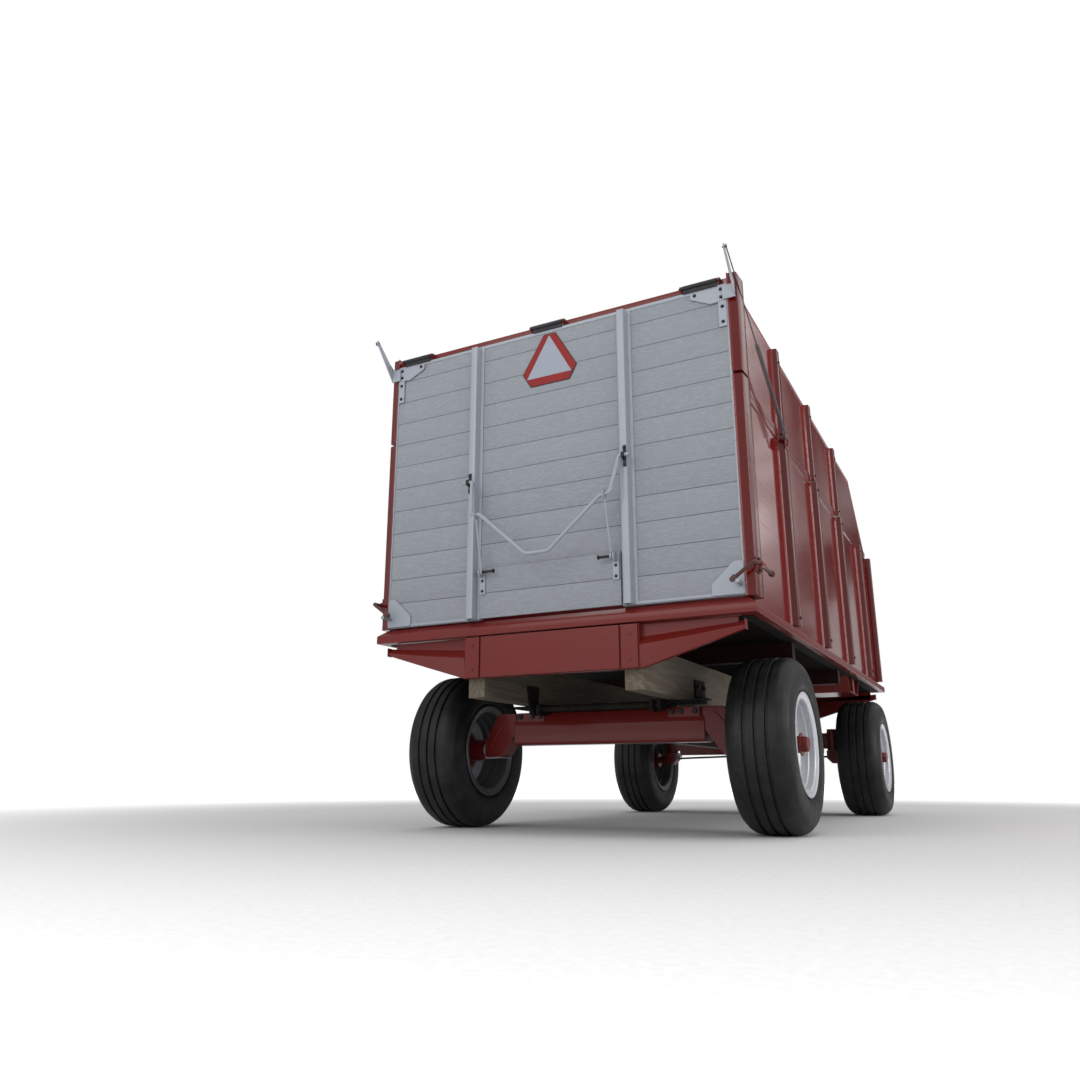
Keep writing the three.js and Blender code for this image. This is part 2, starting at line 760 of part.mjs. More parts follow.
// Upright lower front wall and the sloped panel above it, joined along the bend.
function frontWall() {
  const half = WALL_X - WALL_THICK - GAP;
  const [y, thick] = [WALL_Y[1], WALL_THICK];
  const outline = [
    [y, RAIL_Z[2] + GAP],
    [y, SEAM_Z],
    [TOP_FRONT_Y, TOP_Z],
    [TOP_FRONT_Y - thick, TOP_Z - 6],
    [y - thick, SEAM_Z - 12],
    [y - thick, RAIL_Z[2] + GAP],
  ];
  return alongX(outline, [-half, half]);
}

function header() {
  const [ay, az] = GATE_AXIS;
  const beam = box([-WALL_X + 26, WALL_X - 26], [-619, -596], [2340, TOP_Z]);
  const hinges = KNUCKLE_X.flatMap((x) => (x ? [x, -x] : [x])).map((x) => {
    const lugs = [-1, 1].map((side) => {
      const edge = x + side * 88;
      return box([edge - 4, edge + 4], [ay - 11, -600], [az - 11, az + 11]);
    });
    return join(lugs, bar([x - 88, ay, az], [x + 88, ay, az], 5.5, 10));
  });
  return join(beam, hinges);
}

function addWalls() {
  pair("lower_side", lowerSide(), RED);
  pair("upper_side", upperSide(), RED);
  place("front_wall", frontWall(), RED);
  place("gate_header", header(), RED);
}

// ---------------------------------------------------------------- tailgate

// Matched boards laid across the gate, with a groove along each joint.
function boards(x, z) {
  const groove = 3;
  const joints = [];
  for (let at = GATE_Z[0] + BOARD_PITCH; at < GATE_Z[1] - groove; at += BOARD_PITCH) {
    if (at > z[0] + groove && at < z[1] - groove) joints.push(at);
  }
  const face = joints.flatMap((at) => [
    [GATE_Y[0], at - groove],
    [GATE_Y[0] + groove, at],
    [GATE_Y[0], at + groove],
  ]);
  return alongX([[GATE_Y[1], z[1]], [GATE_Y[1], z[0]], [GATE_Y[0], z[0]], ...face, [GATE_Y[0], z[1]]], x);
}

// Side boards with the corner plate and its latch pin.
function sideBoards() {
  const panel = boards([CHANNEL_X[0] - 1, GATE_X], GATE_Z);
  const plate = alongY(
    [
      [750, 953],
      [886, 953],
      [886, 1090],
      [845, 1090],
      [750, 1000],
    ],
    [GATE_Y[0] - 7, GATE_Y[0] + 2],
  );
  const pin = bar([873, GATE_Y[0] - 4, 994], [873, -716, 994], 9, 12);
  return join(panel, plate, pin);
}

// Upright channel with the bracket that the door handle swings in.
function channel() {
  const post = box(CHANNEL_X, CHANNEL_Y, GATE_Z);
  const [hy, hz] = HANDLE_PIVOT;
  const bracket = box([378, 394], [hy - 14, CHANNEL_Y[0] + 2], [hz - 16, hz + 16]);
  return cut(join(post, bracket), bar([360, hy, hz], [440, hy, hz], HANDLE_R + 0.8, 12));
}

function gateTopRail() {
  const [ay, az] = GATE_AXIS;
  const strip = box([-GATE_X, GATE_X], [GATE_Y[0], GATE_Y[1]], [GATE_Z[1] + GAP, 2352]);
  const barrels = KNUCKLE_X.flatMap((x) => (x ? [x, -x] : [x])).map((x) => {
    const strap = box([x - 80, x + 80], [ay - 3, ay + 20], [2340, az - 4]);
    return join(bar([x - 80, ay, az], [x + 80, ay, az], 10.5, 12), strap);
  });
  const bore = KNUCKLE_X.flatMap((x) => (x ? [x, -x] : [x])).map((x) =>
    bar([x - 90, ay, az], [x + 90, ay, az], 6.4, 10),
  );
  return cut(join(strip, barrels), bore);
}

// Galvanised corner plate with the arm that the assist spring pulls on.
function cornerBracket() {
  const y = [GATE_Y[0] - 9, GATE_Y[0] - GAP];
  const plate = alongY(
    [
      [722, 2307],
      [813, 2262],
      [886, 2268],
      [886, 2334],
      [722, 2334],
    ],
    y,
  );
  const strip = box([846, 883], y, [2142, 2290]);
  const arm = alongX(
    [
      [-656, 2268],
      [-656, 2334],
      [ARM_TIP[0] + 10, ARM_TIP[1] + 8],
      [ARM_TIP[0], ARM_TIP[1]],
      [ARM_TIP[0] + 4, ARM_TIP[1] - 12],
    ],
    [926, 931],
  );
  const web = box([870, 931], [-664, -656], [2269, 2333]);
  return join(plate, strip, arm, web);
}

function emblem() {
  const y = [GATE_Y[0] - 8, GATE_Y[0] - GAP];
  return alongY(
    [
      [-125, 2061],
      [146, 2061],
      [156, 2082],
      [34, 2318],
      [22, 2325],
      [-2, 2325],
      [-14, 2318],
      [-135, 2082],
    ],
    y,
  );
}

// Rod and coil of the gate's assist spring, drawn as one stepped bar from the arm tip to the stake.
function assistSpring() {
  const from = new THREE.Vector3(SPRING_X - 10, ARM_TIP[0] + 14, ARM_TIP[1] - 8);
  const to = new THREE.Vector3(SPRING_X, ...SPRING_ANCHOR);
  const split = from.clone().lerp(to, SPRING_SPLIT);
  const rod = bar(from.toArray(), split.toArray(), 4, 8);
  const coil = bar(split.toArray(), to.toArray(), 14, 10);
  return join(rod, coil);
}

function addTailgate() {
  place("gate_boards_middle", boards([-CHANNEL_X[0] + 1.6, CHANNEL_X[0] - 1.6], [DOOR_Z[1] + 3, GATE_Z[1]]), BOARD);
  pair("gate_boards", sideBoards(), BOARD);
  pair("gate_channel", channel(), STEEL);
  place("gate_top_rail", gateTopRail(), STEEL);
  pair("corner_bracket", cornerBracket(), STEEL);
  place("slow_emblem", emblem(), SIGN);
  pair("assist_spring", assistSpring(), STEEL);
}

// ---------------------------------------------------------------- grain door and its handle

function grainDoor() {
  const panel = box([-DOOR_X, DOOR_X], DOOR_Y, DOOR_Z);
  const [py, pz] = DOOR_PIN;
  const strap = box([322, 352], [DOOR_Y[0] - 6, DOOR_Y[0] + 2], [1064, 1182]);
  const lug = box([334, 342], [py - 14, DOOR_Y[0] + 2], [pz - 14, pz + 14]);
  const pin = bar([262, py, pz], [338, py, pz], 6.5, 10);
  return join(panel, [strap, lug, pin].flatMap((piece) => [piece, piece.mirror([1, 0, 0])]));
}

// One rod bent across the gate: down from each pivot, in at the elbows and down to the grip.
function doorHandle() {
  const [hy, hz] = HANDLE_PIVOT;
  const [ey, ez] = ELBOW;
  const side = [
    [374, hy, hz],
    [404, hy, hz],
    [404, hy - 12, hz - 50],
    [356, ey, ez],
    [316, ey, ez - 5],
    [60, ey - 10, 1200],
  ];
  const mirrored = side.map(([x, y, z]) => [-x, y, z]).reverse();
  return bentBar([...side, ...mirrored], HANDLE_R, 12, 7);
}

// Flat link from the door pin up to just short of the elbow.
function doorLink() {
  const [py, pz] = DOOR_PIN;
  const dir = new THREE.Vector2(ELBOW[0] - py, ELBOW[1] - pz).normalize();
  const length = new THREE.Vector2(ELBOW[0] - py, ELBOW[1] - pz).length() - 32;
  const tip = [py + dir.x * length, pz + dir.y * length];
  const eye = bar([322, py, pz], [331, py, pz], 14, 14);
  const shank = bar([326.5, py + dir.x * 8, pz + dir.y * 8], [326.5, ...tip], 4.5, 8);
  return cut(join(eye, shank), bar([300, py, pz], [350, py, pz], 7.3, 12));
}

function addGrainDoor() {
  place("grain_door", grainDoor(), BOARD);
  place("door_handle", doorHandle(), STEEL);
  pair("door_link", doorLink(), STEEL);
}

// ---------------------------------------------------------------- latches

// Bent rod that turns in the stake's bracket and hooks over the gate's pin.
function latch() {
  const [x, z] = LATCH_AXIS;
  const rod = bentBar(
    [
      [x, -420, z],
      [x, -701, z],
      [845, -701, 1000],
    ],
    LATCH_R,
    18,
    8,
  );
  const grip = bar([x, -428, z], [x, -410, z], 14, 10);
  return join(rod, grip);
}

addWheels();
addRunningGear();
addHoist();
addUnderframe();
addWalls();
addTailgate();
addGrainDoor();
pair("gate_latch", latch(), RED);

export default part;
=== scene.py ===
"""Four-wheel grain cart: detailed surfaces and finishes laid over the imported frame.

Lengths are metres. A piece is worked out in cart coordinates, which start on the ground under the
middle of the rear axle: X to the right seen from behind, Y forwards along the drawbar, Z up.
The maker moves each mesh into the frame's own coordinates, so every object stays at the origin.
"""

import logging
import math
from collections.abc import Callable, Sequence
from dataclasses import dataclass, field
from enum import Enum

import bmesh
import bpy
import numpy as np
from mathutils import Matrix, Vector


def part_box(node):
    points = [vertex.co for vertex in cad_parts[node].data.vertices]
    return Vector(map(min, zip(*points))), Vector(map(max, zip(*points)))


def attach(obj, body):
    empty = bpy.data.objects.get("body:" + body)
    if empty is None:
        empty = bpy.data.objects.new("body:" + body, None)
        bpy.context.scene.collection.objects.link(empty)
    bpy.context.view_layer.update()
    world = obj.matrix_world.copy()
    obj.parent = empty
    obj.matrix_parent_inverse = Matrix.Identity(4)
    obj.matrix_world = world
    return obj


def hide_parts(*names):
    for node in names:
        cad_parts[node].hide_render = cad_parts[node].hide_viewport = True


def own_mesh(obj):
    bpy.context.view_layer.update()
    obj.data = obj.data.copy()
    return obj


logging.basicConfig(level=logging.INFO, format="%(message)s")
log = logging.getLogger("grain_cart")

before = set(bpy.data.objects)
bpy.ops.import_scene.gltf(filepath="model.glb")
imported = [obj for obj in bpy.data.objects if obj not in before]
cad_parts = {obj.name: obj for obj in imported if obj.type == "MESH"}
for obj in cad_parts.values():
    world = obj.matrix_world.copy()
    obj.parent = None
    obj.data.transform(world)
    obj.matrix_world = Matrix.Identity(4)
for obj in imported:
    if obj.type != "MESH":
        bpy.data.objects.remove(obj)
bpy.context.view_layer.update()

Array = np.ndarray
Point = tuple[float, float, float]
Colour = tuple[float, float, float]


class Side(Enum):
    """The two sides of the cart, with the sign of their X."""

    RIGHT = 1
    LEFT = -1

    @property
    def word(self) -> str:
        """The side's name as the frame's nodes spell it."""
        return self.name.lower()


class End(Enum):
    """The two ends of the cart."""

    REAR = "rear"
    FRONT = "front"


def node_box(node: str) -> Array:
    """Box of a frame node in frame coordinates.

    Args:
        node: name of a frame node.

    Returns:
        A 2 by 3 array, lowest corner first.
    """
    return np.array([list(corner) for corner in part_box(node)])


REAR_AXLE_Y = float(node_box("tyre_rear_right").mean(axis=0)[1])
TO_FRAME = np.array([0.0, REAR_AXLE_Y, 0.0])
WELD = 2e-6
SHARP_OVER = math.radians(32)
ROUNDED_OVER = math.radians(38)


# ---------------------------------------------------------------- surfaces


@dataclass
class Shell:
    """One closed surface: points, four-sided faces and the polygons that close its ends."""

    points: Array
    quads: Array
    caps: list[Array] = field(default_factory=list)

    def mirrored(self) -> "Shell":
        """The same surface on the other side of the cart."""
        return Shell(self.points * (-1, 1, 1), self.quads, self.caps)

    def moved(self, shift: Sequence[float]) -> "Shell":
        """The same surface carried along a vector."""
        return Shell(self.points + np.asarray(shift, float), self.quads, self.caps)


def from_grid(grid: Array, ring: bool = False, wrap: bool = True) -> Shell:
    """Skins a grid of points.

    Row i holds one outline, and each face joins (i, j), (i, j+1), (i+1, j+1) and (i+1, j).

    Args:
        grid: rows by columns by 3.
        ring: the last row joins the first, so no ends are closed.
        wrap: the last column joins the first.

    Returns:
        The closed surface.
    """
    rows, columns = grid.shape[:2]
    index = np.arange(rows * columns).reshape(rows, columns)
    here = index if ring else index[:-1]
    ahead = np.roll(index, -1, axis=0) if ring else index[1:]
    if wrap:
        quads = np.stack([here, np.roll(here, -1, 1), np.roll(ahead, -1, 1), ahead], -1)
    else:
        quads = np.stack([here[:, :-1], here[:, 1:], ahead[:, 1:], ahead[:, :-1]], -1)
    caps = [] if ring or not wrap else [index[0][::-1], index[-1]]
    return Shell(grid.reshape(-1, 3), quads.reshape(-1, 4), caps)


def prism(outline: Sequence[Sequence[float]], span: tuple[float, float], axis: str) -> Shell:
    """Carries a flat outline straight along one axis: point = outline point plus t along the axis.

    Args:
        outline: (y, z) pairs for axis x, (x, z) for y, (x, y) for z.
        span: start and end along the axis.
        axis: "x", "y" or "z".

    Returns:
        The closed surface.
    """
    flat = np.asarray(outline, float)
    along = "xyz".index(axis)
    others = [i for i in range(3) if i != along]
    grid = np.zeros((2, len(flat), 3))
    grid[:, :, others] = flat
    grid[:, :, along] = np.array(span)[:, None]
    return from_grid(grid)


def block(x: tuple[float, float], y: tuple[float, float], z: tuple[float, float]) -> Shell:
    """A rectangular bar between three pairs of limits."""
    return prism([(x[0], z[0]), (x[1], z[0]), (x[1], z[1]), (x[0], z[1])], y, "y")


def corner_curve(a: Array, corner: Array, b: Array, steps: int) -> Array:
    """The quadratic curve (1-t)^2 a + 2t(1-t) corner + t^2 b past each corner.

    Args:
        a: where each curve starts.
        corner: the corners.
        b: where each curve ends.
        steps: points on each curve.

    Returns:
        The curves' points in order, one row per point.
    """
    t = np.linspace(0, 1, steps)[None, :, None]
    curve = (1 - t) ** 2 * a[:, None] + 2 * t * (1 - t) * corner[:, None] + t**2 * b[:, None]
    return curve.reshape(-1, corner.shape[1])


def rounded(outline: Sequence[Sequence[float]], radius: float, steps: int = 4) -> Array:
    """Rounds every corner of a closed outline.

    Each corner is swapped for a corner curve whose ends lie on its two sides, at the radius or at
    45% of the shorter side.

    Args:
        outline: the corner points.
        radius: how far from the corner the curve starts.
        steps: points on each curve.

    Returns:
        The rounded outline, one row per point.
    """
    corner = np.asarray(outline, float)
    before = np.roll(corner, 1, axis=0) - corner
    after = np.roll(corner, -1, axis=0) - corner
    reach = np.minimum(np.linalg.norm(before, axis=1), np.linalg.norm(after, axis=1)) * 0.45
    reach = np.minimum(radius, reach)[:, None]
    a = corner + before / np.linalg.norm(before, axis=1)[:, None] * reach
    b = corner + after / np.linalg.norm(after, axis=1)[:, None] * reach
    return corner_curve(a, corner, b, steps)


def flowing(points: Sequence[Sequence[float]], steps: int = 6) -> Array:
    """A smooth open curve through points, by the Catmull-Rom cubic between each pair of neighbours.

    Args:
        points: the points it passes through.
        steps: points between each pair of neighbours.

    Returns:
        The curve, one row per point.
    """
    p = np.asarray(points, float)
    padded = np.vstack([2 * p[0] - p[1], p, 2 * p[-1] - p[-2]])
    t = np.linspace(0, 1, steps, endpoint=False)[None, :, None]
    p0, p1, p2, p3 = (padded[i : len(padded) - 3 + i, None, :] for i in range(4))
    curve = 0.5 * (
        2 * p1 + (p2 - p0) * t + (2 * p0 - 5 * p1 + 4 * p2 - p3) * t**2 + (3 * p1 - p0 - 3 * p2 + p3) * t**3
    )
    return np.vstack([curve.reshape(-1, p.shape[1]), p[-1:]])


def turned(profile: Array, centre: Sequence[float], axis: str, segments: int, closed: bool) -> Shell:
    """Turns a profile of (radius, distance along the axis) about an axis.

    Point = centre + along * axis + radius * (cos a, sin a) across it, for angles a round the circle.

    Args:
        profile: (radius, along) rows. An open profile starts and ends at radius 0.
        centre: the point that distance along the axis is measured from.
        axis: "x", "y" or "z".
        segments: steps round the circle.
        closed: the profile joins up with itself.

    Returns:
        The closed surface.
    """
    profile = np.asarray(profile, float)
    angle = np.linspace(0, 2 * np.pi, segments, endpoint=False)[:, None]
    radius, along = profile[None, :, 0], profile[None, :, 1] + 0 * angle
    first, second = radius * np.cos(angle), radius * np.sin(angle)
    order = {"x": (along, first, second), "y": (second, along, first), "z": (first, second, along)}
    grid = np.stack(order[axis], -1) + np.asarray(centre, float)
    return from_grid(grid, ring=True, wrap=closed)


def fillet_route(points: Sequence[Sequence[float]], radius: float, steps: int = 6) -> Array:
    """An open route of straight runs with a corner curve at each inner corner.

    Args:
        points: the route's corners, with its two ends.
        radius: how far from a corner its curve starts.
        steps: points on each curve.

    Returns:
        The route, one row per point.
    """
    p = np.asarray(points, float)
    inner = p[1:-1]
    to_last, to_next = p[:-2] - inner, p[2:] - inner
    reach_last = np.minimum(radius, np.linalg.norm(to_last, axis=1) * 0.45)[:, None]
    reach_next = np.minimum(radius, np.linalg.norm(to_next, axis=1) * 0.45)[:, None]
    a = inner + to_last / np.linalg.norm(to_last, axis=1)[:, None] * reach_last
    b = inner + to_next / np.linalg.norm(to_next, axis=1)[:, None] * reach_next
    return np.vstack([p[:1], corner_curve(a, inner, b, steps), p[-1:]])


def tube(
    route: Array, radius: Array | float, sides: int = 12, lean: Sequence[float] = (0.31, 0.17, 0.93)
) -> Shell:
    """Carries a circle along a route: point = route + radius * (cos a * u + sin a * v).

    u is square to the route and to a fixed leaning direction, and v is square to both.

    Args:
        route: points along the middle of the bar.
        radius: one radius, or one for each point of the route.
        sides: points on each circle.
        lean: the fixed direction, never parallel to the route.

    Returns:
        The closed surface.
    """
    ahead = np.gradient(route, axis=0)
    ahead /= np.linalg.norm(ahead, axis=1)[:, None]
    u = np.cross(np.asarray(lean, float)[None], ahead)
    u /= np.linalg.norm(u, axis=1)[:, None]
    v = np.cross(ahead, u)
    angle = np.linspace(0, 2 * np.pi, sides, endpoint=False)
    ring = np.cos(angle)[None, :, None] * u[:, None] + np.sin(angle)[None, :, None] * v[:, None]
    width = np.broadcast_to(np.asarray(radius, float), (len(route),))[:, None, None]
    return from_grid(route[:, None, :] + width * ring)


def bar(
    start: Sequence[float], end: Sequence[float], radius: float, sides: int = 16, edge: float = 0.0015
) -> Shell:
    """A straight round bar whose two ends are eased by a small chamfer.

    Args:
        start: middle of one end.
        end: middle of the other end.
        radius: the bar's radius.
        sides: points on each circle.
        edge: width of the chamfer.

    Returns:
        The closed surface.
    """
    a, b = np.asarray(start, float), np.asarray(end, float)
    length = np.linalg.norm(b - a)
    edge = min(edge, radius * 0.4, length * 0.2)
    share = np.array([0.0, edge, length - edge, length]) / length
    route = a + share[:, None] * (b - a)
    return tube(route, np.array([radius - edge, radius, radius, radius - edge]), sides)


def square_to(direction: Array) -> tuple[Array, Array]:
    """Two unit vectors square to a direction and to each other.

    Args:
        direction: any direction, of unit length.

    Returns:
        The two vectors.
    """
    helper = np.array([0.0, 0.0, 1.0]) if abs(direction[2]) < 0.9 else np.array([0.0, 1.0, 0.0])
    u = np.cross(helper, direction)
    u /= np.linalg.norm(u)
    return u, np.cross(direction, u)


def hex_head(foot: Sequence[float], direction: Sequence[float], flats: float, height: float) -> Shell:
    """Bolt head on a washer.

    Its radius is apothem / cos(angle from the middle of the flat), trimmed to a circle at the top.

    Args:
        foot: middle of the washer's lower face.
        direction: the way the head points.
        flats: width across the flats.
        height: height of the hexagon.

    Returns:
        The closed surface.
    """
    out = np.asarray(direction, float) / np.linalg.norm(direction)
    u, v = square_to(out)
    angle = np.linspace(0, 2 * np.pi, 18, endpoint=False)
    hexagon = flats / 2 / np.cos((angle % (np.pi / 3)) - np.pi / 6)
    circle = np.full_like(angle, flats * 0.52)
    washer = np.full_like(angle, flats * 0.78)
    lip = height * 0.2
    rings = [(washer, 0.0), (washer, lip), (hexagon, lip), (hexagon, lip + height * 0.8)]
    rings += [(np.minimum(hexagon, circle) * 0.94, lip + height)]
    radius = np.array([r for r, _ in rings])[:, :, None]
    level = np.array([h for _, h in rings])[:, None, None]
    spoke = np.cos(angle)[:, None] * u + np.sin(angle)[:, None] * v
    return from_grid(np.asarray(foot, float) + radius * spoke[None] + level * out)


def dome(foot: Sequence[float], direction: Sequence[float], radius: float, height: float) -> Shell:
    """Round rivet or screw head: radius cos t and height sin t for t from 0 to a right angle.

    Args:
        foot: middle of its lower face.
        direction: the way the head points.
        radius: its radius.
        height: its height.

    Returns:
        The closed surface.
    """
    out = np.asarray(direction, float) / np.linalg.norm(direction)
    u, v = square_to(out)
    angle = np.linspace(0, 2 * np.pi, 9, endpoint=False)
    rise = np.radians([0.0, 32.0, 66.0])[:, None, None]
    spoke = np.cos(angle)[:, None] * u + np.sin(angle)[:, None] * v
    grid = radius * np.cos(rise) * spoke[None] + height * np.sin(rise) * out
    return from_grid(np.asarray(foot, float) + grid)


def both(shells: Sequence[Shell]) -> list[Shell]:
    """The shells and their mirror images on the other side of the cart."""
    return [*shells, *(shell.mirrored() for shell in shells)]


def for_side(shells: Sequence[Shell], side: Side) -> list[Shell]:
    """Shells drawn for the right-hand side, mirrored when the side is the left one."""
    return list(shells) if side is Side.RIGHT else [shell.mirrored() for shell in shells]


# ---------------------------------------------------------------- making a piece


def mesh_of(name: str, shells: Sequence[Shell]) -> bpy.types.Mesh:
    """Joins closed surfaces into one mesh in frame coordinates, with its faces pointing out.

    Args:
        name: name of the mesh.
        shells: the closed surfaces, in cart coordinates.

    Returns:
        A smooth-shaded mesh with sharp edges where its faces meet at over 32 degrees.
    """
    counts = np.cumsum([0] + [len(shell.points) for shell in shells])
    points = np.concatenate([shell.points for shell in shells]) + TO_FRAME
    faces: list[list[int]] = []
    for shell, start in zip(shells, counts):
        faces += (shell.quads + start).tolist()
        faces += [(cap + start).tolist() for cap in shell.caps]
    mesh = bpy.data.meshes.new(name)
    mesh.from_pydata(points.tolist(), [], faces)
    work = bmesh.new()
    work.from_mesh(mesh)
    bmesh.ops.remove_doubles(work, verts=work.verts, dist=WELD)
    bmesh.ops.recalc_face_normals(work, faces=work.faces)
    work.to_mesh(mesh)
    work.free()
    mesh.polygons.foreach_set("use_smooth", np.ones(len(mesh.polygons), bool))
    mesh.set_sharp_from_angle(angle=SHARP_OVER)
    mesh.update()
    return mesh


def add_piece(
    name: str,
    body: str,
    finish: "Finish",
    shells: Sequence[Shell],
    replaces: Sequence[str] = (),
    bevel: float = 0.0,
) -> bpy.types.Object:
    """Makes one piece, dresses it and lets it ride on a body of the frame.

    Args:
        name: the piece's name.
        body: the body it moves with.
        finish: what it is painted or made of.
        shells: its closed surfaces, in cart coordinates.
        replaces: frame nodes that it stands for.
        bevel: width of the rounding on its sharp edges, or 0 for none.

    Returns:
        The finished object.
    """
    name = "look_" + name.replace(" ", "_")
    made = bpy.data.objects.new(name, mesh_of(name, shells))
    bpy.context.scene.collection.objects.link(made)
    made.data.materials.append(finish.material())
    if bevel:
        rounding = made.modifiers.new("rounded edges", "BEVEL")
        rounding.width = bevel
        rounding.segments = 2
        rounding.limit_method = "ANGLE"
        rounding.angle_limit = ROUNDED_OVER
        rounding.harden_normals = True
        rounding.use_clamp_overlap = True
    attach(made, body)
    if replaces:
        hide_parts(*replaces)
    log.info("%-28s on %-18s %6d faces", name, body, len(made.data.polygons))
    return made


def dress_node(node: str, finish: "Finish") -> None:
    """Gives a frame node that stays in view its finish.

    Args:
        node: the frame node.
        finish: what it is painted or made of.
    """
    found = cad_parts[node]
    found.data.materials.clear()
    found.data.materials.append(finish.material())
    log.info("%-28s keeps its shape, finish %s", node, finish.name)


# ---------------------------------------------------------------- shader graphs


class Graph:
    """A shader node tree under construction."""

    def __init__(self, tree: bpy.types.NodeTree) -> None:
        """Starts on an empty tree."""
        self.tree = tree

    def feed(self, socket: bpy.types.NodeSocket, value: object) -> None:
        """Links a socket to another socket, or sets its constant.

        Args:
            socket: the input to feed.
            value: another socket, a number or a colour.
        """
        if isinstance(value, bpy.types.NodeSocket):
            self.tree.links.new(value, socket)
        elif isinstance(value, tuple) and len(value) == 3 and socket.type == "RGBA":
            socket.default_value = (*value, 1.0)
        else:
            socket.default_value = value

    def node(self, kind: str, inputs: dict | None = None, **settings: object) -> bpy.types.Node:
        """Adds a shader node.

        Args:
            kind: the node's type without its ShaderNode prefix.
            inputs: socket name or number to a constant or another socket.
            settings: the node's own properties.

        Returns:
            The new node.
        """
        made = self.tree.nodes.new("ShaderNode" + kind)
        for key, value in settings.items():
            setattr(made, key, value)
        for key, value in (inputs or {}).items():
            self.feed(made.inputs[key], value)
        return made

    def math(self, operation: str, *values: object, clamp: bool = False) -> bpy.types.NodeSocket:
        """A Math node's result.

        Args:
            operation: the node's operation.
            values: its inputs in order, each a constant or a socket.
            clamp: keeps the result from 0 to 1.

        Returns:
            The result's socket.
        """
        made = self.node("Math", dict(enumerate(values)), operation=operation)
        made.use_clamp = clamp
        return made.outputs[0]

    def times(self, first: object, second: object, clamp: bool = False) -> bpy.types.NodeSocket:
        """One value times another."""
        return self.math("MULTIPLY", first, second, clamp=clamp)

    def part(self, vector: object, axis: str) -> bpy.types.NodeSocket:
        """One coordinate of a vector."""
        return self.node("SeparateXYZ", {0: vector}).outputs[axis]

    def mix(self, factor: object, first: object, second: object, blend: str = "MIX") -> bpy.types.NodeSocket:
        """A blend of two colours."""
        made = self.node("Mix", {0: factor, 6: first, 7: second}, data_type="RGBA", blend_type=blend)
        return made.outputs[2]

    def remap(
        self, value: object, low: float, high: float, first: float = 0.0, last: float = 1.0
    ) -> bpy.types.NodeSocket:
        """Maps low...high smoothly onto first...last, clamped."""
        inputs = {0: value, 1: low, 2: high, 3: first, 4: last}
        return self.node("MapRange", inputs, interpolation_type="SMOOTHSTEP").outputs[0]

    def scaled(self, vector: object, scale: Point) -> bpy.types.NodeSocket:
        """A vector stretched along each axis."""
        return self.node("Mapping", {"Vector": vector, "Scale": scale}).outputs[0]

    def noise(
        self, vector: object, scale: float, detail: float = 3.0, rough: float = 0.55
    ) -> bpy.types.NodeSocket:
        """Cloudy noise from 0 to 1."""
        inputs = {"Vector": vector, "Scale": scale, "Detail": detail, "Roughness": rough}
        return self.node("TexNoise", inputs).outputs[0]

    def here(self) -> bpy.types.NodeSocket:
        """The place on the piece, in metres."""
        return self.node("TexCoord").outputs["Object"]


def shader_group(
    name: str, inputs: dict[str, float], outputs: Sequence[str], fill: Callable
) -> bpy.types.NodeTree:
    """Builds a shared effect once.

    Args:
        name: name of the group.
        inputs: input name to its default value.
        outputs: output names. "Normal" is a vector, and the rest are values.
        fill: called with the graph and the group's input node, and returns one socket per output.

    Returns:
        The group, made now or found from an earlier call.
    """
    found = bpy.data.node_groups.get(name)
    if found:
        return found
    tree = bpy.data.node_groups.new(name, "ShaderNodeTree")
    for key, value in inputs.items():
        made = tree.interface.new_socket(name=key, in_out="INPUT", socket_type="NodeSocketFloat")
        made.default_value = value
    for key in outputs:
        kind = "NodeSocketVector" if key == "Normal" else "NodeSocketFloat"
        tree.interface.new_socket(name=key, in_out="OUTPUT", socket_type=kind)
    entry, leave = tree.nodes.new("NodeGroupInput"), tree.nodes.new("NodeGroupOutput")
    for key, socket in zip(outputs, fill(Graph(tree), entry)):
        tree.links.new(socket, leave.inputs[key])
    return tree


def fill_edges(g: Graph, entry: bpy.types.Node) -> tuple[bpy.types.NodeSocket, ...]:
    """Rounded normal, and wear where that normal leaves the face's own by more than noise allows.

    Args:
        g: the graph it is drawn in.
        entry: the group's input node.

    Returns:
        The rounded normal, and the wear.
    """
    soft = g.node("Bevel", {"Radius": entry.outputs["Radius"]}, samples=6)
    flat = g.node("NewGeometry").outputs["Normal"]
    turn = g.node("VectorMath", {0: soft.outputs[0], 1: flat}, operation="DOT_PRODUCT").outputs["Value"]
    edge = g.remap(turn, 0.995, 0.86)
    patch = g.noise(g.here(), 34.0, 5.0, 0.7)
    chip = g.remap(g.math("ADD", patch, g.times(edge, 0.28)), 0.66, 0.74)
    wear = g.times(g.times(edge, chip), entry.outputs["Amount"])
    return soft.outputs[0], wear


def fill_clouds(g: Graph, entry: bpy.types.Node) -> tuple[bpy.types.NodeSocket, ...]:
    """Broad stains and fine speckle, from noise at two scales.

    Args:
        g: the graph it is drawn in.
        entry: the group's input node.

    Returns:
        The mask, and the fine noise as a height.
    """
    broad = g.noise(g.here(), 1.7, 4.0, 0.6)
    fine = g.noise(g.here(), 26.0, 5.0, 0.65)
    stain = g.times(g.remap(broad, 0.35, 0.7), entry.outputs["Broad"])
    speck = g.times(g.remap(fine, 0.4, 0.72), entry.outputs["Fine"])
    return g.math("ADD", stain, speck, clamp=True), fine


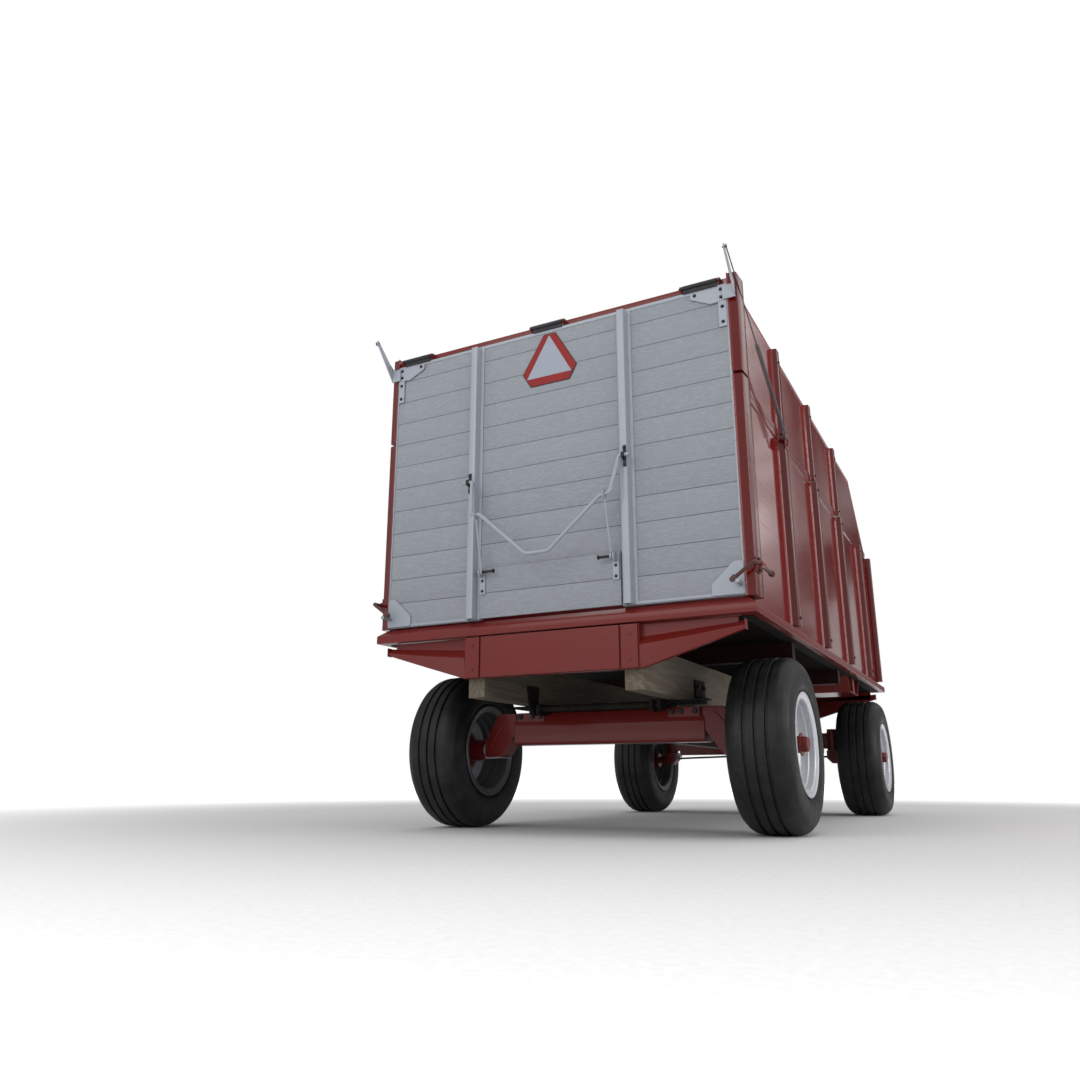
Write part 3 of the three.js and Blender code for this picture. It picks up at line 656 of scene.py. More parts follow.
def fill_dust(g: Graph, entry: bpy.types.Node) -> tuple[bpy.types.NodeSocket, ...]:
    """Dust: more near the ground and on faces that look up, broken by noise.

    Args:
        g: the graph it is drawn in.
        entry: the group's input node.

    Returns:
        The mask.
    """
    height = g.part(g.here(), "Z")
    low = g.remap(height, 1.25, 0.1)
    up = g.remap(g.part(g.node("NewGeometry").outputs["Normal"], "Z"), 0.5, 1.0)
    amount = g.math("ADD", g.times(low, 0.55), g.times(up, 0.6))
    cloud = g.remap(g.noise(g.here(), 9.0, 6.0, 0.7), 0.35, 0.8)
    mask = g.times(g.times(amount, cloud), entry.outputs["Amount"], clamp=True)
    return (mask,)


def fill_grain(g: Graph, entry: bpy.types.Node) -> tuple[bpy.types.NodeSocket, ...]:
    """Wood grain: noise drawn out along one axis, its rings bent by a slower noise.

    Args:
        g: the graph it is drawn in.
        entry: the group's input node.

    Returns:
        The mask, and the height of the fibres.
    """
    spread = g.node(
        "CombineXYZ",
        {0: entry.outputs["Along X"], 1: entry.outputs["Along Y"], 2: entry.outputs["Along Z"]},
    )
    stretched = g.node("VectorMath", {0: g.here(), 1: spread.outputs[0]}, operation="MULTIPLY").outputs[0]
    fibre = g.noise(stretched, 9.0, 8.0, 0.72)
    slow = g.noise(stretched, 1.3, 2.0, 0.5)
    rings = g.math("SINE", g.times(slow, 46.0))
    bands = g.remap(rings, -0.6, 1.0)
    height = g.math("ADD", g.times(fibre, 0.75), g.times(bands, 0.25))
    return g.remap(height, 0.28, 0.72), height


def fill_joints(g: Graph, entry: bpy.types.Node) -> tuple[bpy.types.NodeSocket, ...]:
    """Dark line at each board joint, from the height above the first joint modulo the board's width.

    Args:
        g: the graph it is drawn in.
        entry: the group's input node.

    Returns:
        The line, and a value of its own for each board.
    """
    height = g.part(g.here(), "Z")
    steps = g.math("DIVIDE", g.math("SUBTRACT", height, entry.outputs["First"]), entry.outputs["Width"])
    off = g.math("ABSOLUTE", g.math("SUBTRACT", g.math("FRACT", g.math("ADD", steps, 0.5)), 0.5))
    line = g.remap(g.times(off, entry.outputs["Width"]), 0.0020, 0.0008)
    board = g.math("FLOOR", steps)
    shade = g.node("TexWhiteNoise", {"W": board}, noise_dimensions="1D").outputs["Value"]
    return line, shade


EDGES = ("rounded edges", {"Radius": 0.0015, "Amount": 0.4}, ("Normal", "Wear"), fill_edges)
CLOUDS = ("paint clouds", {"Broad": 0.5, "Fine": 0.3}, ("Mask", "Height"), fill_clouds)
DUST = ("settled dust", {"Amount": 0.4}, ("Mask",), fill_dust)
GRAIN = ("wood grain", {"Along X": 1.0, "Along Y": 1.0, "Along Z": 1.0}, ("Mask", "Height"), fill_grain)
JOINTS = ("board joints", {"First": 0.0, "Width": 0.119}, ("Line", "Shade"), fill_joints)


def effect(g: Graph, kind: tuple, **values: float) -> dict[str, bpy.types.NodeSocket]:
    """Places a shared effect in a material.

    Args:
        g: the material's graph.
        kind: one of the effects above.
        values: input name, with _ for a space, to its constant.

    Returns:
        Output name to socket.
    """
    placed = g.tree.nodes.new("ShaderNodeGroup")
    placed.node_tree = shader_group(*kind)
    for key, value in values.items():
        placed.inputs[key.replace("_", " ")].default_value = value
    return {socket.name: socket for socket in placed.outputs}


# ---------------------------------------------------------------- finishes

DUST_COLOUR: Colour = (0.30, 0.26, 0.21)
BARE_STEEL: Colour = (0.19, 0.175, 0.165)


def toned(colour: Colour, share: float) -> Colour:
    """A colour made darker or lighter by one factor."""
    return tuple(share * part for part in colour)


@dataclass(frozen=True)
class Finish:
    """What a piece is made of or painted with. Subclasses lay their own graph."""

    name: str
    slot: str
    colour: Colour
    roughness: float = 0.5
    metallic: float = 0.0
    specular: float = 0.3

    def material(self) -> bpy.types.Material:
        """The material, made once and shared by every piece with this finish.

        Returns:
            The material.
        """
        found = bpy.data.materials.get(self.name)
        if found:
            return found
        made = bpy.data.materials.new(self.name)
        made.use_nodes = True
        made.node_tree.nodes.clear()
        g = Graph(made.node_tree)
        shader = g.node("BsdfPrincipled", {"Metallic": self.metallic, "Specular IOR Level": self.specular})
        leave = g.node("OutputMaterial", {"Surface": shader.outputs[0]})
        leave.is_active_output = True
        made.diffuse_color = (*self.colour, 1.0)
        self.lay(g, shader)
        return made

    def lay(self, g: Graph, shader: bpy.types.Node) -> None:
        """Feeds the shader. The plain finish has soft clouds in its colour.

        Args:
            g: the graph it is drawn in.
            shader: the material's Principled shader.
        """
        clouds = effect(g, CLOUDS, Broad=0.5, Fine=0.3)
        g.feed(shader.inputs["Base Color"], g.mix(clouds["Mask"], self.colour, toned(self.colour, 0.7)))
        self.vary_roughness(g, shader, clouds["Height"], (0, 1), (0.05, 0.1))

    def vary_roughness(
        self,
        g: Graph,
        shader: bpy.types.Node,
        mask: bpy.types.NodeSocket,
        span: tuple[float, float],
        swing: tuple[float, float],
    ) -> None:
        """Lets the roughness follow a mask.

        Args:
            g: the material's graph.
            shader: the material's Principled shader.
            mask: the value it follows.
            span: the mask's values at the smoothest and the roughest.
            swing: how far it goes below and above the finish's own roughness.
        """
        low, high = self.roughness - swing[0], self.roughness + swing[1]
        g.feed(shader.inputs["Roughness"], g.remap(mask, *span, low, high))


@dataclass(frozen=True)
class Enamel(Finish):
    """Sprayed enamel: clear coat, orange peel, dust low down and chips on its edges."""

    coat: float = 0.5
    wear: float = 0.5
    dust: float = 0.35
    edge: float = 0.002
    streaks: float = 0.0
    # X over which the stakes' painted shade comes in
    stakes: tuple[float, float] = (0.8925, 0.9000)

    def lay(self, g: Graph, shader: bpy.types.Node) -> None:
        """Colour from clouds, dust and worn edges; relief from peel.

        A streaked wall also gets drawn streaks and swells, and painted shade that darkens its stakes where
        they stand out from it.

        Args:
            g: the graph it is drawn in.
            shader: the material's Principled shader.
        """
        edges = effect(g, EDGES, Radius=self.edge, Amount=self.wear)
        clouds = effect(g, CLOUDS, Broad=0.45, Fine=0.25)
        dust = effect(g, DUST, Amount=self.dust)
        faded = tuple(min(1.0, 0.86 * part + 0.004) for part in self.colour)
        colour = g.mix(clouds["Mask"], self.colour, faded)
        coat = self.coat
        if self.streaks:
            across = g.math("ABSOLUTE", g.part(g.here(), "X"))
            # painted shade: the stakes, standing out from the wall from X 0.8925, are darkened and their coat
            # thinned
            painted_stake_shade = g.remap(across, *self.stakes)
            colour = g.mix(painted_stake_shade, colour, toned(self.colour, 0.52))
            coat = g.remap(painted_stake_shade, 0.0, 1.0, self.coat, 0.25 * self.coat)
        colour = g.mix(dust["Mask"], colour, DUST_COLOUR)
        colour = g.mix(edges["Wear"], colour, BARE_STEEL)
        g.feed(shader.inputs["Base Color"], colour)
        rough = g.remap(clouds["Mask"], 0, 1, self.roughness, self.roughness + 0.07)
        rough = g.math("ADD", rough, g.times(dust["Mask"], 0.45), clamp=True)
        g.feed(shader.inputs["Roughness"], g.math("MAXIMUM", rough, g.times(edges["Wear"], 0.55)))
        g.feed(shader.inputs["Coat Weight"], g.times(g.math("SUBTRACT", 1.0, dust["Mask"], clamp=True), coat))
        shader.inputs["Coat Roughness"].default_value = 0.06
        height = g.times(g.noise(g.here(), 210.0, 2.0), 0.00004)
        if self.streaks:
            joints = effect(g, JOINTS, First=0.944, Width=0.195)
            height = g.math("SUBTRACT", height, g.times(joints["Line"], 0.0010 * self.streaks))
            drawn = g.noise(g.scaled(g.here(), (1.0, 1.1, 9.0)), 7.0, 5.0, 0.6)
            swell = g.noise(g.scaled(g.here(), (1.0, 0.7, 0.8)), 1.6, 1.0)
            height = g.math("ADD", height, g.times(drawn, 0.0006 * self.streaks))
            height = g.math("ADD", height, g.times(swell, 0.012 * self.streaks))
        relief = g.node(
            "Bump", {"Height": height, "Normal": edges["Normal"], "Strength": 1.0, "Distance": 1.0}
        )
        g.feed(shader.inputs["Normal"], relief.outputs[0])


@dataclass(frozen=True)
class PaintedBoards(Finish):
    """Satin paint over boards: raised grain along X, dark joints, and a small change board by board."""

    first_joint: float = 0.0
    board_width: float = 0.119

    def lay(self, g: Graph, shader: bpy.types.Node) -> None:
        """Colour from grain, joints and each board's own shade; relief from the grain.

        Args:
            g: the graph it is drawn in.
            shader: the material's Principled shader.
        """
        grain = effect(g, GRAIN, Along_X=5.0, Along_Y=12.0, Along_Z=26.0)
        joints = effect(g, JOINTS, First=self.first_joint, Width=self.board_width)
        clouds = effect(g, CLOUDS, Broad=0.5, Fine=0.5)
        dust = effect(g, DUST, Amount=0.15)
        colour = g.mix(grain["Mask"], toned(self.colour, 0.90), toned(self.colour, 1.06))
        colour = g.mix(g.times(clouds["Mask"], 0.35), colour, toned(self.colour, 0.85))
        colour = g.mix(g.remap(joints["Shade"], 0, 1, 0.0, 0.12), colour, (0.29, 0.31, 0.33))
        colour = g.mix(dust["Mask"], colour, DUST_COLOUR)
        colour = g.mix(g.times(joints["Line"], 0.45), colour, (0.07, 0.074, 0.08))
        g.feed(shader.inputs["Base Color"], colour)
        self.vary_roughness(g, shader, grain["Height"], (0.2, 0.8), (0.08, 0.12))
        pits = g.noise(g.scaled(g.here(), (1.0, 1.0, 3.0)), 75.0, 4.0, 0.6)
        height = g.math("ADD", g.times(grain["Height"], 0.0006), g.times(pits, 0.0012))
        relief = g.node("Bump", {"Height": height, "Strength": 1.0, "Distance": 1.0})
        g.feed(shader.inputs["Normal"], relief.outputs[0])


@dataclass(frozen=True)
class Metal(Finish):
    """Bare or coated metal: clouded tone, fine scratches and soft edges."""

    mottled: float = 0.3
    edge: float = 0.001
    grimy_inside: float = 0.0

    def lay(self, g: Graph, shader: bpy.types.Node) -> None:
        """Colour and roughness from clouds and spangle, with painted shade darkening the inboard side when
        asked; relief from scratches.

        Args:
            g: the graph it is drawn in.
            shader: the material's Principled shader.
        """
        edges = effect(g, EDGES, Radius=self.edge, Amount=0.3)
        clouds = effect(g, CLOUDS, Broad=self.mottled, Fine=self.mottled)
        spangle = g.node("TexVoronoi", {"Vector": g.here(), "Scale": 85.0}).outputs["Color"]
        tone = g.node("SeparateColor", {0: spangle}).outputs[0]
        colour = g.mix(clouds["Mask"], self.colour, toned(self.colour, 0.62))
        colour = g.mix(g.times(tone, 0.5 * self.mottled), colour, toned(self.colour, 1.15))
        colour = g.mix(g.times(effect(g, DUST, Amount=0.3)["Mask"], 0.6), colour, DUST_COLOUR)
        # painted shade: the inboard face, X under 0.834, darkened to near black where the rim sits in shade
        if self.grimy_inside:
            across = g.math("ABSOLUTE", g.part(g.here(), "X"))
            inside = g.times(g.remap(across, 0.834, 0.822), self.grimy_inside)
            colour = g.mix(inside, colour, (0.028, 0.029, 0.031))
        g.feed(shader.inputs["Base Color"], colour)
        self.vary_roughness(g, shader, clouds["Height"], (0.2, 0.9), (0.06, 0.12))
        scratch = g.noise(g.scaled(g.here(), (9.0, 9.0, 60.0)), 12.0, 3.0)
        relief = g.node(
            "Bump", {"Height": scratch, "Normal": edges["Normal"], "Strength": 0.35, "Distance": 0.0004}
        )
        g.feed(shader.inputs["Normal"], relief.outputs[0])


@dataclass(frozen=True)
class Timber(Finish):
    """Weathered timber with grain along Y."""

    dark: Colour = (0.07, 0.052, 0.038)

    def lay(self, g: Graph, shader: bpy.types.Node) -> None:
        """Colour from grain and stains; relief from the fibres.

        Args:
            g: the graph it is drawn in.
            shader: the material's Principled shader.
        """
        grain = effect(g, GRAIN, Along_X=11.0, Along_Y=0.8, Along_Z=11.0)
        clouds = effect(g, CLOUDS, Broad=0.6, Fine=0.3)
        colour = g.mix(grain["Mask"], self.dark, self.colour)
        colour = g.mix(g.times(clouds["Mask"], 0.5), colour, toned(self.colour, 0.6))
        g.feed(shader.inputs["Base Color"], colour)
        self.vary_roughness(g, shader, grain["Height"], (0.2, 0.8), (0.1, 0.1))
        relief = g.node("Bump", {"Height": grain["Height"], "Strength": 0.6, "Distance": 0.0015})
        g.feed(shader.inputs["Normal"], relief.outputs[0])


@dataclass(frozen=True)
class Rubber(Finish):
    """Tyre rubber: dull, a little greyer where dust sits and with fine pores."""

    def lay(self, g: Graph, shader: bpy.types.Node) -> None:
        """Colour from dust and clouds; relief from pores.

        Args:
            g: the graph it is drawn in.
            shader: the material's Principled shader.
        """
        clouds = effect(g, CLOUDS, Broad=0.5, Fine=0.5)
        dust = effect(g, DUST, Amount=0.5)
        colour = g.mix(clouds["Mask"], self.colour, toned(self.colour, 1.7))
        colour = g.mix(g.times(dust["Mask"], 0.22), colour, DUST_COLOUR)
        g.feed(shader.inputs["Base Color"], colour)
        self.vary_roughness(g, shader, clouds["Height"], (0.2, 0.9), (0.08, 0.1))
        pores = g.noise(g.here(), 420.0, 3.0, 0.7)
        relief = g.node("Bump", {"Height": pores, "Strength": 0.4, "Distance": 0.0004})
        g.feed(shader.inputs["Normal"], relief.outputs[0])


@dataclass(frozen=True)
class Sheeting(Finish):
    """Reflective sign sheeting with its fine honeycomb of cells."""

    def lay(self, g: Graph, shader: bpy.types.Node) -> None:
        """Colour lifted inside each cell; a thin clear coat over it.

        Args:
            g: the graph it is drawn in.
            shader: the material's Principled shader.
        """
        cells = g.node(
            "TexVoronoi", {"Vector": g.here(), "Scale": 260.0}, feature="DISTANCE_TO_EDGE"
        ).outputs[0]
        inside = g.remap(cells, 0.02, 0.12)
        rim = toned(self.colour, 0.8)
        clouds = effect(g, CLOUDS, Broad=0.3, Fine=0.2)
        colour = g.mix(inside, rim, self.colour)
        g.feed(shader.inputs["Base Color"], g.mix(g.times(clouds["Mask"], 0.3), colour, rim))
        self.vary_roughness(g, shader, clouds["Height"], (0.2, 0.9), (0.0, 0.1))
        shader.inputs["Coat Weight"].default_value = 0.04
        relief = g.node("Bump", {"Height": inside, "Strength": 0.15, "Distance": 0.0003})
        g.feed(shader.inputs["Normal"], relief.outputs[0])


RED = Enamel("red enamel", "red_paint", (0.128, 0.010, 0.008), 0.30, specular=0.22, coat=0.18, dust=0.06)
# painted shade: the red enamel darkened about tenfold for the chassis parts in the shade under the box
PAINTED_SHADE_RED = Enamel(
    "chassis enamel in painted shade", "red_paint", (0.013, 0.002, 0.0015), 0.5, specular=0.1, coat=0.02, dust=0.05
)
WALL_RED = Enamel(
    "wall enamel", "red_paint", (0.165, 0.007, 0.006), 0.08, specular=0.35, coat=0.7, wear=0.05, dust=0.02,
    streaks=1.0,
)
LATCH_RED = Enamel(
    "worn dark enamel", "red_paint", (0.060, 0.014, 0.012), 0.45, coat=0.05, wear=0.9, dust=0.1
)
BOARD_GREY = PaintedBoards("board paint", "board_paint", (0.222, 0.238, 0.264), 0.52, first_joint=0.952)
STEEL_GREY = Enamel("grey enamel", "grey_steel", (0.27, 0.295, 0.335), 0.36, coat=0.25, wear=0.5, dust=0.15)
GALVANISED = Metal("galvanised steel", "galvanised", (0.30, 0.32, 0.35), 0.40, 0.6, mottled=0.4)
SPRING = Metal("spring steel", "spring_steel", (0.120, 0.122, 0.126), 0.36, 0.9)
DARK_STEEL = Metal("dark steel", "dark_steel", (0.035, 0.035, 0.038), 0.5, 0.7)
# painted shade: near-black steel for the bolsters, tip shaft, sill steel and floor edge strips in the shade
# under the box
STEEL_IN_PAINTED_SHADE = Metal("steel in painted shade", "dark_steel", (0.012, 0.011, 0.010), 0.7, 0.2, specular=0.1)
CHROME = Metal("chrome", "chrome_rod", (0.75, 0.76, 0.78), 0.1, 1.0, mottled=0.1)
# the rim's inboard side carries painted shade
RIM_SILVER = Metal(
    "silver rim paint", "rim_silver", (0.52, 0.535, 0.570), 0.34, 0.30, mottled=0.12, edge=0.0015,
    grimy_inside=0.85,
)
SILL_WOOD = Timber("sill timber", "sill_wood", (0.148, 0.124, 0.094), 0.75, dark=(0.090, 0.073, 0.053))
# painted shade: the floor, seen only from beneath, is timber darkened to near black
FLOOR_TIMBER_IN_PAINTED_SHADE = Timber(
    "floor timber in painted shade", "floor_wood", (0.010, 0.008, 0.006), 0.9, specular=0.05, dark=(0.005, 0.004, 0.003)
)
TYRE_RUBBER = Rubber("tyre rubber", "tyre", (0.0070, 0.0075, 0.0082), 0.5, specular=0.22)
SIGN_RED = Sheeting("red sheeting", "sign_red", (0.215, 0.010, 0.009), 0.35, specular=0.15)
SIGN_FIELD = Sheeting("pale sheeting", "grey_steel", (0.285, 0.305, 0.365), 0.4, specular=0.15)

# ---------------------------------------------------------------- running gear

WHEELBASE = 2.616
WHEEL_X = 0.817
WHEEL_Z = 0.387


@dataclass
class Wheel:
    """Tyre, dished rim with five nuts, and hub of one corner."""

    side: Side
    end: End
    nut_circle: float = 0.070

    @property
    def corner(self) -> str:
        """The corner's name as the frame's nodes spell it."""
        return f"{self.end.value}_{self.side.word}"

    def placed(self, shells: Sequence[Shell]) -> list[Shell]:
        """Shells drawn round the wheel's middle with X outwards, moved to this corner."""
        y = 0.0 if self.end is End.REAR else WHEELBASE
        return for_side([shell.moved((WHEEL_X, y, WHEEL_Z)) for shell in shells], self.side)

    def tyre(self) -> list[Shell]:
        """Smooth side walls, a soft shoulder and four ribs between three grooves.

        Returns:
            Its closed surfaces.
        """
        wall = [(0.208, 0.118), (0.228, 0.1235), (0.247, 0.138), (0.300, 0.1430), (0.344, 0.1362)]
        wall = flowing([*wall, (0.370, 0.1150)])
        shoulder = [(0.3795, 0.0985), (0.3825, 0.0900), (0.3840, 0.0820)]
        grooves = [(0.3850, 0.0560), (0.3840, 0.0550), (0.3755, 0.0530), (0.3745, 0.0480), (0.3755, 0.0430)]
        grooves += [(0.3850, 0.0410), (0.3862, 0.0398), (0.3868, 0.0075), (0.3860, 0.0065), (0.3765, 0.0045)]
        half = np.vstack([wall, shoulder, grooves])
        bead = np.array([(0.2415, 0.1322), (0.2432, 0.1352), (0.2455, 0.1362)])
        half = np.vstack([half[:9], bead, half[13:]])
        return self.placed([turned(np.vstack([half, half[::-1] * (1, -1)]), (0, 0, 0), "x", 128, True)])

    def rim(self) -> list[Shell]:
        """Rolled flanges, a drop centre, the dished disc and the valve.

        Returns:
            Its closed surfaces.
        """
        outer = [(0.203, 0.1210), (0.2045, 0.1250), (0.2240, 0.1275), (0.2290, 0.1300), (0.2302, 0.1330)]
        outer += [(0.2285, 0.1360), (0.2250, 0.1369), (0.2215, 0.1345), (0.2120, 0.1315), (0.2000, 0.1290)]
        outer += [(0.1955, 0.1240), (0.1950, 0.1000), (0.1905, 0.0950), (0.1895, 0.0660), (0.1860, 0.0600)]
        dish = [(0.1500, 0.0400), (0.1150, 0.0215), (0.1080, 0.0185), (0.0480, 0.0180), (0.0465, 0.0165)]
        back = [(0.0465, 0.0110), (0.1120, 0.0110), (0.1165, 0.0140), (0.1740, 0.0430), (0.1760, 0.0400)]
        back += [
            (0.1760, -0.0180), (0.1790, -0.0240), (0.1880, -0.0300), (0.1900, -0.0360), (0.1900, -0.0640),
            (0.1950, -0.0700),
        ]
        inner = [
            (0.1950, -0.1000), (0.1955, -0.1240), (0.2000, -0.1290), (0.2120, -0.1315), (0.2215, -0.1345)
        ]
        inner += [
            (0.2250, -0.1369), (0.2285, -0.1360), (0.2302, -0.1330), (0.2290, -0.1300), (0.2240, -0.1275)
        ]
        inner += [(0.2045, -0.1250), (0.2030, -0.1210)]
        profile = np.array(outer + dish + back + inner)
        valve = bar((0.036, 0.118, 0.120), (0.062, 0.128, 0.130), 0.004, 8)
        return self.placed([turned(profile, (0, 0, 0), "x", 96, True), valve])

    def nuts(self) -> list[Shell]:
        """Five wheel nuts with the ends of their studs.

        Returns:
            Its closed surfaces.
        """
        found: list[Shell] = []
        for i in range(5):
            angle = 2 * math.pi * i / 5 + 0.3
            y, z = self.nut_circle * math.cos(angle), self.nut_circle * math.sin(angle)
            found.append(hex_head((0.018, y, z), (1, 0, 0), 0.024, 0.012))
            found.append(bar((0.020, y, z), (0.036, y, z), 0.0065, 10))
        return self.placed(found)

    def hub(self) -> list[Shell]:
        """Tapered hub, blind at its outer end, with a hexagonal grease cap.

        Returns:
            Its closed surfaces.
        """
        profile = [(0.0, 0.0950), (0.0258, 0.0950), (0.0258, -0.1040), (0.0520, -0.1040), (0.0560, -0.0300)]
        profile += [
            (0.0900, -0.0060), (0.0920, -0.0030), (0.0920, 0.0090), (0.0905, 0.0105), (0.0465, 0.0110)
        ]
        profile += [(0.0450, 0.0135), (0.0445, 0.0280), (0.0425, 0.0330), (0.0370, 0.1040), (0.0360, 0.1080)]
        profile += [(0.0300, 0.1120), (0.0, 0.1120)]
        shoulder = [(0.0, 0.1280), (0.0300, 0.1280), (0.0300, 0.1360), (0.0275, 0.1400), (0.0, 0.1410)]
        parts = [turned(np.array(profile), (0, 0, 0), "x", 48, False)]
        parts.append(hex_head((0.1060, 0, 0), (1, 0, 0), 0.0660, 0.0270))
        parts.append(turned(np.array(shoulder), (0, 0, 0), "x", 24, False))
        return self.placed(parts)

    def build(self) -> None:
        """Adds the wheel's pieces."""
        body = "wheel_" + self.corner
        add_piece(f"tyre {self.corner}", body, TYRE_RUBBER, self.tyre(), [f"tyre_{self.corner}"])
        add_piece(f"rim {self.corner}", body, RIM_SILVER, self.rim(), [f"rim_{self.corner}"])
        add_piece(f"wheel nuts {self.corner}", body, DARK_STEEL, self.nuts())
        add_piece(f"hub {self.corner}", body, RED, self.hub(), [f"hub_{self.corner}"])


@dataclass
class RearAxle:
    """Boxed beam with folded edges, its drop arms, end plates, bolts and stub axles."""

    half_x: float = 0.505
    half_y: float = 0.062

    def beam(self) -> Shell:
        """The folded beam, with eased corners along its length.

        Returns:
            The closed surface.
        """
        y = self.half_y
        outline = [(-y, 0.412), (-0.046, 0.405), (0.046, 0.405), (y, 0.412), (y, 0.500), (0.044, 0.566)]
        outline += [(-0.044, 0.566), (-y, 0.500)]
        return prism(rounded(outline, 0.008, 4), (-self.half_x, self.half_x), "x")

    def arms(self) -> list[Shell]:
        """One drop arm with its gusset.

        Returns:
            Its closed surfaces.
        """
        arm = [(0.495, 0.566), (0.600, 0.566), (0.680, 0.430), (0.680, 0.350), (0.585, 0.350), (0.495, 0.470)]
        rib = [(0.560, 0.540), (0.620, 0.470), (0.655, 0.400), (0.645, 0.396), (0.606, 0.462), (0.550, 0.530)]
        return [prism(rounded(arm, 0.014, 5), (-0.055, 0.055), "y"), prism(rib, (-0.061, 0.061), "y")]

    def build(self) -> None:
        """Adds the beam, the end plates and the stub axles."""
        pads = [block((0.330, 0.486), (-0.064, -0.046), (0.520, 0.566))]
        add_piece(
            "rear axle", "running_gear", RED, [self.beam(), *both(self.arms() + pads)], ["rear_axle"], 0.003
        )
        plates = [block((0.584, 0.672), (-0.056, 0.056), (0.344, 0.3495))]
        plates.append(block((0.681, 0.686), (-0.045, 0.045), (0.342, 0.432)))
        spindle = bar((0.640, 0, WHEEL_Z), (0.905, 0, WHEEL_Z), 0.0245, 32)
        collar = bar((0.684, 0, WHEEL_Z), (0.706, 0, WHEEL_Z), 0.036, 32)
        bolts = [hex_head((x, -0.064, 0.546), (0, -1, 0), 0.019, 0.009) for x in (0.352, 0.396, 0.464)]
        add_piece(
            "stub axles and plates", "running_gear", STEEL_GREY, both([*plates, spindle, collar]),
            bevel=0.001,
        )
        add_piece("axle bolts", "running_gear", DARK_STEEL, both(bolts))


# ---------------------------------------------------------------- box: frame under the floor


